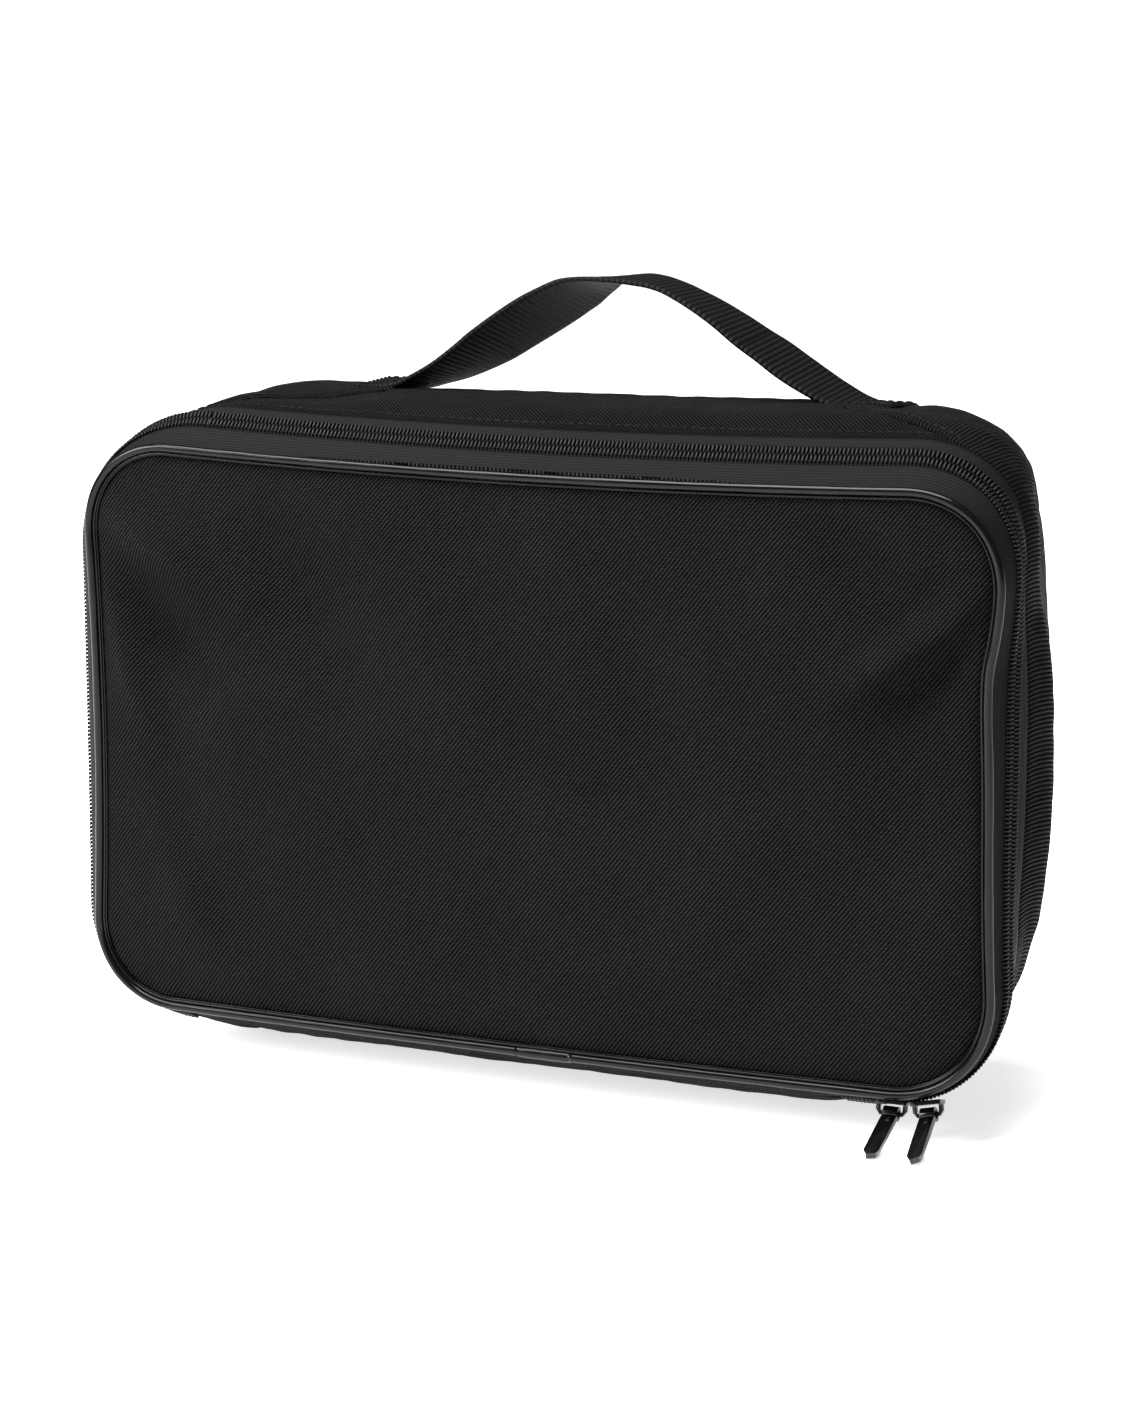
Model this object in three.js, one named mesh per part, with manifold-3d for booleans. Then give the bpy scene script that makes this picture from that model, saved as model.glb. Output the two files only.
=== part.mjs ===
// Cable organizer pouch: a soft case with a zipped front lid that folds down on a fabric hinge, a webbing
// handle on top, and elastic loops and a mesh pocket inside.
// Millimetres, X to the right, Y to the back, Z up. The origin is the centre of the flat base.
// Depths inside this file are counted from the lid's seam at the front, and placed by frontY at the end.
import * as THREE from "three";
import { mergeVertices } from "three/addons/utils/BufferGeometryUtils.js";
import Module from "manifold-3d";

const wasm = await Module();
wasm.setup();

// ---- Driving sizes -------------------------------------------------------------------------------------

const lidWidth = 300; // the seam line that the piping follows
const lidHeight = 180;
const lidRadius = 32;
const depth = 92; // from the lid's seam to the back panel's seam
const clearance = 0.3; // air left between neighbouring pieces

// How far the case stands outside the lid's seam line. It leans out at a slope under the zip, swells to
// its crest, holds that from start to end, and falls to the back seam, sooner with a smaller ease.
const side = { slope: 0.3, crest: 5, start: 28, end: 32, back: -14, ease: 1.2 };
const top = { slope: 0.8, crest: 15, start: 28, end: 62, back: -2, ease: 2.2 };
const base = { slope: 0.3, crest: 16, start: 30, end: 62, back: -2, ease: 2.2 };
// The same for the growth of the corners' radii.
const topCorner = { slope: 0.3, crest: 5, start: 28, end: 62, back: 6, ease: 1 };
const baseCorner = { slope: 0.3, crest: 22, start: 30, end: 62, back: 6, ease: 1 };

const twill = 1.0;
const lining = 0.6;
const wallFoam = 2.0;
const lidFoam = 3.0;
const backFoam = 3.0;
const boardThickness = 1.5;
const lidCrown = 5; // the padded lid is domed this much

const beadRadius = 1.5; // piping
const beadWall = 0.35;
const sleeveLength = 20;
const sleeveX = 6.5;
const sleeveWall = 0.35;

const tapeThickness = 0.7;
const lidTapeWidth = 2.9;
const bodyTapeWidth = 5.6;
const coilWidth = 2.3;
const coilHeight = 2.2;
const coilProud = 0.9; // part of the coil's height that stands outside the tape's face
const zipStartBack = 18; // the zip starts this far before the bottom right corner and ends at the left one
const tabLength = 6;
const tabThickness = 0.8;

const sliderLength = 9.6;
const sliderWidth = 7.6;
const sliderPlate = 1.3;
const sliderGap = 0.9; // air between the coil and the slider's plate
const slider1Back = 2.5; // from where the corner starts to curve
const slider2Angle = 13; // degrees round the corner from the bottom
const bridgeWire = 1.3;
const bridgeReach = 2.9; // plate to the middle of the bridge's wire
const pullLength = 22.5; // from the bridge to the tip
const pullWidth = 4.6;
const pullThickness = 1.8;
const pullEye = 2.2; // outer radius of the eye round the bridge
const pullEyeHole = 1.3;
const pullHoleRadius = 0.9;

const strapWidth = 25;
const strapThickness = 1.8;
const strapHalfSpan = 71;
const strapRise = 33;
const strapDepth = 60; // middle of the strap, from the lid's seam
const strapMiddle = 8.5; // the strap sits this far to the right of the case's middle
const strapEnd = 10; // sewn down past each root
const strapSteps = 46;
const foldHeight = 12; // the strap folds below this height above its root, and swings above it
const seamTip = 76; // the side gussets reach in along the top to here
const seamCorner = 132;
const bottomSeam = 105;

const loopPitch = 55;
const loopCount = 4;
const loopDepth = 10;
const loopBand = 25; // height of an elastic band
const loopStitch = 8; // length sewn down between loops
const elastic = 1.2;
const loopHeights = [34, -30]; // middles of the two bands, from the middle of the case

const pocketWidth = 240;
const pocketHeight = 92;
const pocketDepth = 8;
const pocketWall = 1.0;
const pocketBottom = -72;
const bindingWidth = 6;
const bindingThickness = 0.8;

// ---- Sizes that follow ---------------------------------------------------------------------------------

const cornerSteps = 8;
const middleZ = lidHeight / 2 + base.crest; // the middle of the lid, above the base
const frontY = -(base.start + base.end) / 2;
const lidTapeStart = beadRadius + sleeveWall + 2 * clearance;
const lidTapeEnd = lidTapeStart + lidTapeWidth;
const lidCoilStart = lidTapeEnd + clearance;
const lidCoilEnd = lidCoilStart + coilWidth;
const bodyCoilStart = lidCoilEnd + clearance;
const bodyCoilEnd = bodyCoilStart + coilWidth;
const bodyTapeStart = bodyCoilEnd + clearance;
const bodyTapeEnd = bodyTapeStart + bodyTapeWidth;
const gussetStart = bodyTapeEnd + clearance;
const gussetEnd = depth - 2 * clearance;
const zipMiddle = (lidCoilEnd + bodyCoilStart) / 2;
const panelInset = beadRadius + sleeveWall + 2 * clearance;
// The lid turns about a line just under and behind the piping.
const hingeDepth = beadRadius + 1.1;
const hingeDrop = lidHeight / 2 + beadRadius + 1.2;
const chainSplit = lidHeight / 2 - clearance; // the lid's half of the zip ends here, just above the hinge
const tilt = Math.atan(base.slope);
const cornerX = lidWidth / 2 - lidRadius;
const zipEndRight = cornerX - zipStartBack;
const zipEndLeft = -cornerX;
const cornerZ = -(lidHeight / 2 - lidRadius);
const linerEnd = depth - 2.4;
const turn = depth - base.end; // the case narrows to the back over this depth
const rearDepths = [0.27, 0.53, 0.77].map((share) => base.end + share * turn);
const gussetDepths = [gussetStart, 20, 24, base.start, 40, 51, base.end, ...rearDepths, linerEnd, gussetEnd];
const wallInset = twill + clearance;
const liningInset = wallInset + wallFoam + clearance;
const innerInset = liningInset + lining + 2 * clearance;

// ---- Shape of the case ---------------------------------------------------------------------------------

function swell(y, { slope, crest, start, end, back, ease }) {
  const bandRise = slope * bodyTapeEnd;
  if (y <= bodyTapeEnd) return slope * y;
  if (y < start) {
    const s = (y - bodyTapeEnd) / (start - bodyTapeEnd);
    return bandRise + (crest - bandRise) * s * (2 - s);
  }
  return y <= end ? crest : crest + (back - crest) * Math.pow((y - end) / (depth - end), ease);
}

// The case's cross-section at a depth, as points [x, z] round a rectangle with round corners.
function outline(y, inset) {
  const half = lidWidth / 2 + swell(y, side) - inset;
  const upper = lidHeight / 2 + swell(y, top) - inset;
  const lower = lidHeight / 2 + swell(y, base) - inset;
  const topR = lidRadius + swell(y, topCorner) - inset;
  const bottomR = lidRadius + swell(y, baseCorner) - inset;
  const corners = [
    [half - bottomR, bottomR - lower, bottomR, -Math.PI / 2],
    [half - topR, upper - topR, topR, 0],
    [topR - half, upper - topR, topR, Math.PI / 2],
    [bottomR - half, bottomR - lower, bottomR, Math.PI],
  ];
  return corners.flatMap(([cx, cz, r, start]) =>
    Array.from({ length: cornerSteps + 1 }, (_, i) => {
      const a = start + (i / cornerSteps) * (Math.PI / 2);
      return [cx + r * Math.cos(a), cz + r * Math.sin(a)];
    }),
  );
}

// ---- Solids --------------------------------------------------------------------------------------------

// A geometry from vertices and triangles, turned so that its faces point out.
function closedGeometry(vertices, triangles) {
  let volume = 0;
  const v = vertices;
  for (const [a, b, c] of triangles) {
    const cross = new THREE.Vector3(...v[b]).cross(new THREE.Vector3(...v[c]));
    volume += new THREE.Vector3(...v[a]).dot(cross);
  }
  const faces = volume < 0 ? triangles.map(([a, b, c]) => [a, c, b]) : triangles;
  const geometry = new THREE.BufferGeometry();
  geometry.setAttribute("position", new THREE.Float32BufferAttribute(vertices.flat(), 3));
  geometry.setIndex(faces.flat());
  return geometry;
}

// Sweeps a closed section round the case. Each point of it is [depth, inset], and a third value gives the
// depth whose outline it follows, when that is another.
function ring(section) {
  const loops = section.map(([y, inset, follows = y]) =>
    outline(follows, inset).map(([x, z]) => [x, y + frontY, z + middleZ]),
  );
  const n = loops[0].length;
  const m = loops.length;
  const triangles = [];
  for (let i = 0; i < m; i++) {
    for (let j = 0; j < n; j++) {
      const a = i * n + j;
      const b = i * n + ((j + 1) % n);
      const c = ((i + 1) % m) * n + ((j + 1) % n);
      const d = ((i + 1) % m) * n + j;
      triangles.push([a, b, c], [a, c, d]);
    }
  }
  return closedGeometry(loops.flat(), triangles);
}

// A wall round the case between two insets, through the given depths.
function wall(depths, outer, inner) {
  const back = [...depths].reverse();
  return ring([...depths.map((y) => [y, outer]), ...back.map((y) => [y, inner])]);
}

// A plate across the case, domed to the front by crown, with its edge on the outline at one depth.
function plate(front, thickness, inset, crown, follows) {
  const edge = outline(follows, inset);
  const shares = crown ? [1, 0.85, 0.65, 0.4] : [1];
  const n = edge.length;
  const vertices = [];
  const triangles = [];
  const face = (y, turn) => {
    const first = vertices.length;
    for (const share of shares) {
      const lift = crown * (1 - share * share);
      vertices.push(...edge.map(([x, z]) => [x * share, y - lift + frontY, z * share + middleZ]));
    }
    const centre = vertices.length;
    vertices.push([0, y - crown + frontY, middleZ]);
    for (let j = 0; j < n; j++) {
      const k = (j + 1) % n;
      for (let i = 0; i + 1 < shares.length; i++) {
        const a = first + i * n;
        const quad = [
          [a + j, a + k, a + n + k],
          [a + j, a + n + k, a + n + j],
        ];
        triangles.push(...quad.map((t) => (turn ? [t[0], t[2], t[1]] : t)));
      }
      const last = first + (shares.length - 1) * n;
      triangles.push(turn ? [last + j, centre, last + k] : [last + j, last + k, centre]);
    }
    return first;
  };
  const a = face(front, false);
  const b = face(front + thickness, true);
  for (let j = 0; j < n; j++) {
    const k = (j + 1) % n;
    triangles.push([a + j, b + j, b + k], [a + j, b + k, a + k]);
  }
  return closedGeometry(vertices, triangles);
}

function box(x0, x1, y0, y1, z0, z1) {
  const geometry = new THREE.BoxGeometry(x1 - x0, y1 - y0, z1 - z0);
  return geometry.translate((x0 + x1) / 2, (y0 + y1) / 2, (z0 + z1) / 2);
}

// A box whose depths are counted from the lid's seam and heights from the middle of the case.
function caseBox(x0, x1, y0, y1, z0, z1) {
  return box(x0, x1, y0 + frontY, y1 + frontY, z0 + middleZ, z1 + middleZ);
}

// A ribbon of even thickness along points [u, v] of a plane, as a flat shape.
function ribbon(points, thickness) {
  const offset = (sign) =>
    points.map(([u, v], i) => {
      const [u0, v0] = points[Math.max(i - 1, 0)];
      const [u1, v1] = points[Math.min(i + 1, points.length - 1)];
      const along = new THREE.Vector2(u1 - u0, v1 - v0).normalize();
      const reach = (sign * thickness) / 2;
      return new THREE.Vector2(u - along.y * reach, v + along.x * reach);
    });
  return new THREE.Shape([...offset(1), ...offset(-1).reverse()]);
}

function extrude(shape, length) {
  return new THREE.ExtrudeGeometry(shape, { depth: length, bevelEnabled: false, curveSegments: 12 });
}

function solid(geometry) {
  const plain = geometry.clone();
  plain.deleteAttribute("normal");
  plain.deleteAttribute("uv");
  const merged = mergeVertices(plain, 1e-4);
  const vertProperties = new Float32Array(merged.attributes.position.array);
  const triVerts = new Uint32Array(merged.index.array);
  return new wasm.Manifold(new wasm.Mesh({ numProp: 3, vertProperties, triVerts }));
}

function geometryOf(made) {
  const { vertProperties, triVerts, numProp } = made.getMesh();
  const geometry = new THREE.BufferGeometry();
  const positions = new THREE.InterleavedBuffer(vertProperties, numProp);
  geometry.setAttribute("position", new THREE.InterleavedBufferAttribute(positions, 3, 0));
  geometry.setIndex(new THREE.BufferAttribute(triVerts, 1));
  return geometry.toNonIndexed();
}

function cut(geometry, ...tools) {
  return geometryOf(tools.reduce((made, tool) => made.subtract(solid(tool)), solid(geometry)));
}

function keep(geometry, tool) {
  return geometryOf(solid(geometry).intersect(solid(tool)));
}

function join(...geometries) {
  return geometryOf(geometries.map(solid).reduce((made, next) => made.add(next)));
}

// ---- Materials and the scene graph ---------------------------------------------------------------------

const finishes = {
  twill: { color: 0x242426, roughness: 0.82, metalness: 0 },
  foam: { color: 0x6f6f72, roughness: 0.95, metalness: 0 },
  board: { color: 0x3a3a3c, roughness: 0.6, metalness: 0 },
  lining: { color: 0x3c3d40, roughness: 0.85, metalness: 0 },
  piping: { color: 0x141416, roughness: 0.25, metalness: 0 },
  cord: { color: 0xc9c9c4, roughness: 0.7, metalness: 0 },
  tape: { color: 0x1e1e20, roughness: 0.85, metalness: 0 },
  coil: { color: 0x18181a, roughness: 0.45, metalness: 0 },
  zipMetal: { color: 0x101012, roughness: 0.28, metalness: 0.6 },
  webbing: { color: 0x202022, roughness: 0.75, metalness: 0 },
  elastic: { color: 0x19191b, roughness: 0.8, metalness: 0 },
  mesh: { color: 0x1c1c1e, roughness: 0.8, metalness: 0 },
};

const pouch = new THREE.Group();

function add(name, geometry, finish, group = pouch) {
  const mesh = new THREE.Mesh(geometry, new THREE.MeshStandardMaterial(finishes[finish]));
  mesh.name = name;
  group.add(mesh);
  return mesh;
}

// ---- Lid -----------------------------------------------------------------------------------------------

function buildLid() {
  const rimDepth = -twill / 2;
  const foamDepth = rimDepth + twill + clearance;
  const liningDepth = foamDepth + lidFoam + clearance;
  add("front_panel", plate(rimDepth, twill, panelInset, lidCrown, 0), "twill");
  add("front_foam", plate(foamDepth, lidFoam, panelInset + 1, lidCrown, 0), "foam");
  add("front_lining", plate(liningDepth, lining, panelInset + 1, lidCrown, 0), "lining");
  const bindingStart = liningDepth + lining + clearance;
  const binding = [bindingStart, bindingStart + bindingWidth / 2];
  add("lid_seam_binding", wall(binding, panelInset, panelInset + bindingThickness), "lining");

  // A pocket of mesh, closed at the sides and the bottom and open at the top.
  const half = pocketWidth / 2;
  const mouth = pocketBottom + pocketHeight;
  const far = bindingStart + pocketDepth;
  const outer = caseBox(-half, half, bindingStart, far, pocketBottom, mouth);
  const inner = caseBox(
    pocketWall - half, half - pocketWall, bindingStart - 1, far - pocketWall, pocketBottom + pocketWall, mouth + 1,
  );
  add("mesh_pocket", cut(outer, inner), "mesh");
  const edge = mouth + clearance;
  add("pocket_binding", caseBox(-half, half, far - 2 * pocketWall, far, edge, edge + bindingWidth), "elastic");
}

// A round section, as ring() takes it, for a tube that follows the lid's seam.
function tubeSection(radius, sides) {
  return Array.from({ length: sides }, (_, i) => {
    const a = (i / sides) * 2 * Math.PI;
    return [radius * Math.sin(a), -radius * Math.cos(a), 0];
  });
}

function buildPiping() {
  const sides = 8;
  const reach = beadRadius + 1;
  const bottom = -lidHeight / 2;
  // The bead's two ends meet in the middle of the sleeve.
  const meeting = caseBox(sleeveX - clearance, sleeveX + clearance, -reach, reach, bottom - reach, bottom + reach);
  const inner = ring(tubeSection(beadRadius - beadWall, sides));
  add("piping_cover", cut(ring(tubeSection(beadRadius, sides)), inner, meeting), "piping");
  const core = ring(tubeSection(beadRadius - beadWall - clearance, sides));
  add("piping_core", cut(core, meeting), "cord");

  const sleeve = new THREE.Shape().absarc(0, 0, beadRadius + clearance + sleeveWall, 0, 2 * Math.PI);
  sleeve.holes.push(new THREE.Path().absarc(0, 0, beadRadius + clearance, 0, 2 * Math.PI, true));
  const tube = extrude(sleeve, sleeveLength).rotateY(Math.PI / 2);
  tube.translate(sleeveX - sleeveLength / 2, frontY, bottom + middleZ);
  add("piping_sleeve", tube, "piping");
}

// ---- Zip -----------------------------------------------------------------------------------------------

function buildZip() {
  const low = -200;
  const full = [-200, 200, 0, 40];
  const coilOut = -coilProud;
  const coilIn = coilHeight - coilProud;
  const under = caseBox(...full, low, -chainSplit);
  const above = caseBox(...full, -chainSplit - clearance, 200);
  const hingeRun = caseBox(zipEndLeft, zipEndRight, 0, 40, low, 0);
  const lidTape = wall([lidTapeStart, lidTapeEnd], 0, tapeThickness);
  const lidCoil = wall([lidCoilStart, lidCoilEnd], coilOut, coilIn);

  add("zip_tape_lid", cut(lidTape, under, hingeRun), "tape");
  add("zip_coil_lid", cut(lidCoil, under, hingeRun), "coil");
  add("zip_coil_body", cut(wall([bodyCoilStart, bodyCoilEnd], coilOut, coilIn), hingeRun), "coil");
  add("zip_tape_body", cut(wall([bodyTapeStart, bodyTapeEnd], 0, tapeThickness), hingeRun), "tape");

  // Past the hinge line the lid's half of the zip stays with the case, tape and coil together.
  const endSection = [
    [lidTapeStart, 0],
    [lidCoilStart, 0],
    [lidCoilStart, coilOut],
    [lidCoilEnd, coilOut],
    [lidCoilEnd, coilIn],
    [lidCoilStart, coilIn],
    [lidCoilStart, tapeThickness],
    [lidTapeStart, tapeThickness],
  ];
  const ends = cut(ring(endSection), above, hingeRun);
  add("zip_end_right", keep(ends, caseBox(0, 200, 0, 40, low, 0)), "tape");
  add("zip_end_left", keep(ends, caseBox(-200, 0, 0, 40, low, 0)), "tape");

  const tab = wall([lidCoilStart - 1, bodyCoilEnd + 1], -coilProud - clearance - tabThickness, -coilProud - clearance);
  const tabs = { right: zipEndRight, left: zipEndLeft - tabLength };
  for (const [end, x] of Object.entries(tabs)) {
    add("zip_tab_" + end, keep(tab, caseBox(x, x + tabLength, 0, 40, low, 0)), "twill");
  }

  const strip = wall([lidTapeStart, bodyTapeEnd], 0, twill);
  const stripRun = caseBox(zipEndLeft + clearance, zipEndRight - clearance, 0, 40, low, 0);
  add("hinge_strip", keep(strip, stripRun), "twill");
}

// A slider, with the zip's line at its origin and the outside of the case below it, and its pull.
function sliderGeometry() {
  const half = sliderLength / 2;
  const plateShape = new THREE.Shape();
  const r = 2.4;
  plateShape.moveTo(-half + r, -sliderWidth / 2);
  plateShape.lineTo(half - r, -sliderWidth / 2);
  plateShape.quadraticCurveTo(half, -sliderWidth / 2, half, -sliderWidth / 2 + r);
  plateShape.lineTo(half, sliderWidth / 2 - r);
  plateShape.quadraticCurveTo(half, sliderWidth / 2, half - r, sliderWidth / 2);
  plateShape.lineTo(-half + r, sliderWidth / 2);
  plateShape.quadraticCurveTo(-half, sliderWidth / 2, -half, sliderWidth / 2 - r);
  plateShape.lineTo(-half, -sliderWidth / 2 + r);
  plateShape.quadraticCurveTo(-half, -sliderWidth / 2, -half + r, -sliderWidth / 2);
  const outside = -coilProud - sliderGap - sliderPlate;
  const body = extrude(plateShape, sliderPlate).translate(0, 0, outside);

  // The bridge: a flat-topped arch along the zip, with room for the pull's eye inside it.
  const wireZ = outside - bridgeReach;
  const legs = half - 0.2;
  const arch = ribbon(
    [
      [-legs + 0.5, outside + 0.3],
      [-legs + 0.5, wireZ + 1.2],
      [-legs + 1.2, wireZ],
      [legs - 1.2, wireZ],
      [legs - 0.5, wireZ + 1.2],
      [legs - 0.5, outside + 0.3],
    ],
    bridgeWire,
  );
  const bridge = extrude(arch, bridgeWire).rotateX(Math.PI / 2).translate(0, bridgeWire / 2, 0);
  return join(body, bridge);
}

// The pull, with its eye round the X axis and its bar along -Y.
function pullGeometry() {
  const eye = new THREE.Shape().absarc(0, 0, pullEye, 0, 2 * Math.PI);
  eye.holes.push(new THREE.Path().absarc(0, 0, pullEyeHole, 0, 2 * Math.PI, true));
  const head = extrude(eye, pullWidth).rotateY(Math.PI / 2).translate(-pullWidth / 2, 0, 0);

  const halfW = pullWidth / 2;
  const start = (pullEye + pullEyeHole) / 2;
  const bar = new THREE.Shape();
  bar.moveTo(-halfW, -start);
  bar.lineTo(-halfW, -pullLength + 2.2);
  bar.lineTo(-halfW + 1.4, -pullLength);
  bar.lineTo(halfW - 0.6, -pullLength + 0.9);
  bar.lineTo(halfW, -pullLength + 2.4);
  bar.lineTo(halfW, -start);
  bar.holes.push(new THREE.Path().absarc(0, -pullEye - 2.1, pullHoleRadius, 0, 2 * Math.PI, true));
  const blade = extrude(bar, pullThickness).translate(0, 0, -pullThickness / 2);
  return join(head, blade);
}

// Depth and drop of the bridge's wire on the bottom run, from the zip's line and the middle of the case.
const wireReach = coilProud + sliderGap + sliderPlate + bridgeReach;
const zipDrop = lidHeight / 2 + base.slope * zipMiddle;
const wireDepth = zipMiddle - wireReach * Math.sin(tilt);
const wireDrop = zipDrop + wireReach * Math.cos(tilt);

function buildSliders() {
  const places = { 1: -slider1Back, 2: 0 };
  for (const [number, along] of Object.entries(places)) {
    const turn = number === "2" ? THREE.MathUtils.degToRad(slider2Angle) : 0;
    const corner = new THREE.Group(); // its origin is the middle of the case's bottom right corner
    corner.position.set(cornerX, frontY, cornerZ + middleZ);
    corner.rotation.y = -turn;
    const onZip = new THREE.Group();
    onZip.position.set(along, zipMiddle, -zipDrop - cornerZ);
    onZip.rotation.x = -tilt;
    add("slider_" + number, sliderGeometry(), "zipMetal", onZip);
    const onWire = new THREE.Group();
    onWire.position.set(along, wireDepth, -wireDrop - cornerZ);
    // The pull leans forward until its tip is just over the floor.
    const wireHeight = middleZ + cornerZ - (wireDrop + cornerZ) * Math.cos(turn);
    const fall = (wireHeight - pullThickness / 2 - clearance) / (pullLength * Math.cos(turn));
    onWire.rotation.x = Math.asin(fall);
    add("pull_" + number, pullGeometry(), "zipMetal", onWire);
    corner.add(onZip, onWire);
    pouch.add(corner);
  }
}

// ---- Case body -----------------------------------------------------------------------------------------

// The top gusset seen from above: waisted at the handle, where the side gussets reach in to its ends.
function topPlan(grow) {
  const right = strapMiddle + seamTip + grow;
  const left = strapMiddle - seamTip - grow;
  const corner = seamCorner + grow;
  const nearTip = strapDepth - strapWidth / 2;
  const farTip = strapDepth + strapWidth / 2;
  const plan = new THREE.Shape();
  plan.moveTo(-corner, 0);
  plan.lineTo(corner, 0);
  plan.lineTo(corner, gussetStart);
  plan.quadraticCurveTo(right + 12, gussetStart + 12, right, nearTip);
  plan.lineTo(right, farTip);
  plan.quadraticCurveTo(right + 6, depth - 2, corner, depth);
  plan.lineTo(-corner, depth);
  plan.quadraticCurveTo(left - 6, depth - 2, left, farTip);
  plan.lineTo(left, nearTip);
  plan.quadraticCurveTo(left - 12, gussetStart + 12, -corner, gussetStart);
  return extrude(plan, 200).translate(0, frontY, middleZ);
}

function buildBody() {
  const gusset = wall(gussetDepths, 0, twill);
  const whole = [-10, depth + 10];
  const bottom = (grow) => caseBox(-bottomSeam - grow, bottomSeam + grow, ...whole, -200, 0);
  add("gusset_top", keep(gusset, topPlan(0)), "twill");
  add("gusset_bottom", keep(gusset, bottom(0)), "twill");
  const sides = cut(gusset, topPlan(clearance), bottom(clearance));
  add("gusset_right", keep(sides, caseBox(0, 200, ...whole, -200, 200)), "twill");
  add("gusset_left", keep(sides, caseBox(-200, 0, ...whole, -200, 200)), "twill");

  const linerDepths = gussetDepths.slice(0, -1);
  add("gusset_foam", wall(linerDepths, wallInset, wallInset + wallFoam), "foam");
  const liningDepths = [bodyCoilEnd, ...linerDepths];
  add("gusset_lining", wall(liningDepths, liningInset, liningInset + lining), "lining");

  add("back_panel", plate(depth - clearance, twill, 0, 0, depth), "twill");
  const boardFront = gussetEnd - boardThickness;
  add("back_board", plate(boardFront, boardThickness, wallInset + clearance, 0, depth), "board");
  const foamFront = boardFront - clearance - backFoam;
  add("back_foam", plate(foamFront, backFoam, innerInset, 0, depth), "foam");
  const liningFront = foamFront - clearance - lining;
  add("back_lining", plate(liningFront, lining, innerInset, 0, depth), "lining");
  const bindingEnd = liningFront - clearance;
  const binding = [bindingEnd - bindingWidth, bindingEnd];
  add("back_seam_binding", wall(binding, innerInset, innerInset + bindingThickness), "lining");

  // Elastic bands, sewn down between loops that each hold a cable.
  const sewn = bindingEnd - elastic / 2;
  loopHeights.forEach((height, i) => {
    const start = (-loopCount * loopPitch) / 2;
    const points = [[start - loopStitch / 2, sewn]];
    for (let k = 0; k < loopCount; k++) {
      const x0 = start + k * loopPitch + loopStitch / 2;
      const width = loopPitch - loopStitch;
      for (let s = 0; s <= 8; s++) {
        const lift = Math.pow(Math.sin((s / 8) * Math.PI), 0.6) * loopDepth;
        points.push([x0 + (s / 8) * width, sewn - lift]);
      }
    }
    points.push([-start + loopStitch / 2, sewn]);
    const band = extrude(ribbon(points, elastic), loopBand);
    band.translate(0, frontY, height - loopBand / 2 + middleZ);
    add("cable_loops_" + ["upper", "lower"][i], band, "elastic");
  });
}

// ---- Handle --------------------------------------------------------------------------------------------

// Height of the strap's middle line above its root, at a distance along the case.
function strapHeight(x) {
  return Math.abs(x) >= strapHalfSpan ? 0 : (strapRise * (1 + Math.cos((Math.PI * x) / strapHalfSpan))) / 2;
}

function strap() {
  const outer = strapHalfSpan + strapEnd;
  const rootZ = lidHeight / 2 + top.crest + clearance + strapThickness / 2;
  const points = Array.from({ length: strapSteps + 1 }, (_, i) => {
    const x = outer * ((2 * i) / strapSteps - 1);
    return [x, rootZ + strapHeight(x)];
  });
  const band = extrude(ribbon(points, strapThickness), strapWidth).rotateX(Math.PI / 2);
  return band.translate(strapMiddle, strapDepth + strapWidth / 2 + frontY, middleZ);
}

function buildHandle() {
  // Where the strap passes foldHeight on its way up.
  const fold = (strapHalfSpan / Math.PI) * Math.acos((2 * foldHeight) / strapRise - 1);
  const all = [0, depth, 0, 200];
  const [left, right] = [strapMiddle - fold, strapMiddle + fold];
  add("handle_strap", keep(strap(), caseBox(left, right, ...all)), "webbing");
  add("handle_end_left", keep(strap(), caseBox(-200, left - clearance, ...all)), "webbing");
  add("handle_end_right", keep(strap(), caseBox(right + clearance, 200, ...all)), "webbing");
}

buildLid();
buildPiping();
buildZip();
buildSliders();
buildBody();
buildHandle();

export default pouch;
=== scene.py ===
# A soft zipped cable organizer pouch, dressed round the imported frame.
import bpy
import bmesh
import math
import numpy as np
from mathutils import Matrix, Vector


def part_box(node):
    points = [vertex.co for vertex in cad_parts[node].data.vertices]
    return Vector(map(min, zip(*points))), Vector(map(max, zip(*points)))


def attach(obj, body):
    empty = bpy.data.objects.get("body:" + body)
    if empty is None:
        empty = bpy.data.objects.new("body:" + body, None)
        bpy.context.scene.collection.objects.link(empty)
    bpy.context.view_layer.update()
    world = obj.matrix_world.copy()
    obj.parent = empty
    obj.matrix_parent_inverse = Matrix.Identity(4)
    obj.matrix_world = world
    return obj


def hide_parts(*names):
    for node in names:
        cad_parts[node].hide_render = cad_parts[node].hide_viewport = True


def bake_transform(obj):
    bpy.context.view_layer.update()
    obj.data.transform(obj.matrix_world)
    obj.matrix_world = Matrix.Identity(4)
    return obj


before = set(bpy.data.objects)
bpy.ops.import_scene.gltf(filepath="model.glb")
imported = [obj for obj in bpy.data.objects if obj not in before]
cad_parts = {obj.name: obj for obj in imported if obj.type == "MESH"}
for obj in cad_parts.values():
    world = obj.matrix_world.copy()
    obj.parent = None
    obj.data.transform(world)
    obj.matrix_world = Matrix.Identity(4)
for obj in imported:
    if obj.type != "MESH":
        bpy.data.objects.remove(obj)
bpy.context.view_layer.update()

# Sizes below are in millimetres from the middle of the lid's seam: x right, y back, z up.
seamPlane = -0.046
seamMiddle = 0.106
floorZ = -106.0
caseMiddle = np.array([0, 46, 0.0])
clothThickness = 0.9
tapeThickness = 0.6


def toWorld(p):
    p = np.asarray(p, float)
    return np.stack([p[..., 0] / 1000, p[..., 1] / 1000 + seamPlane, p[..., 2] / 1000 + seamMiddle], -1)


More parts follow.
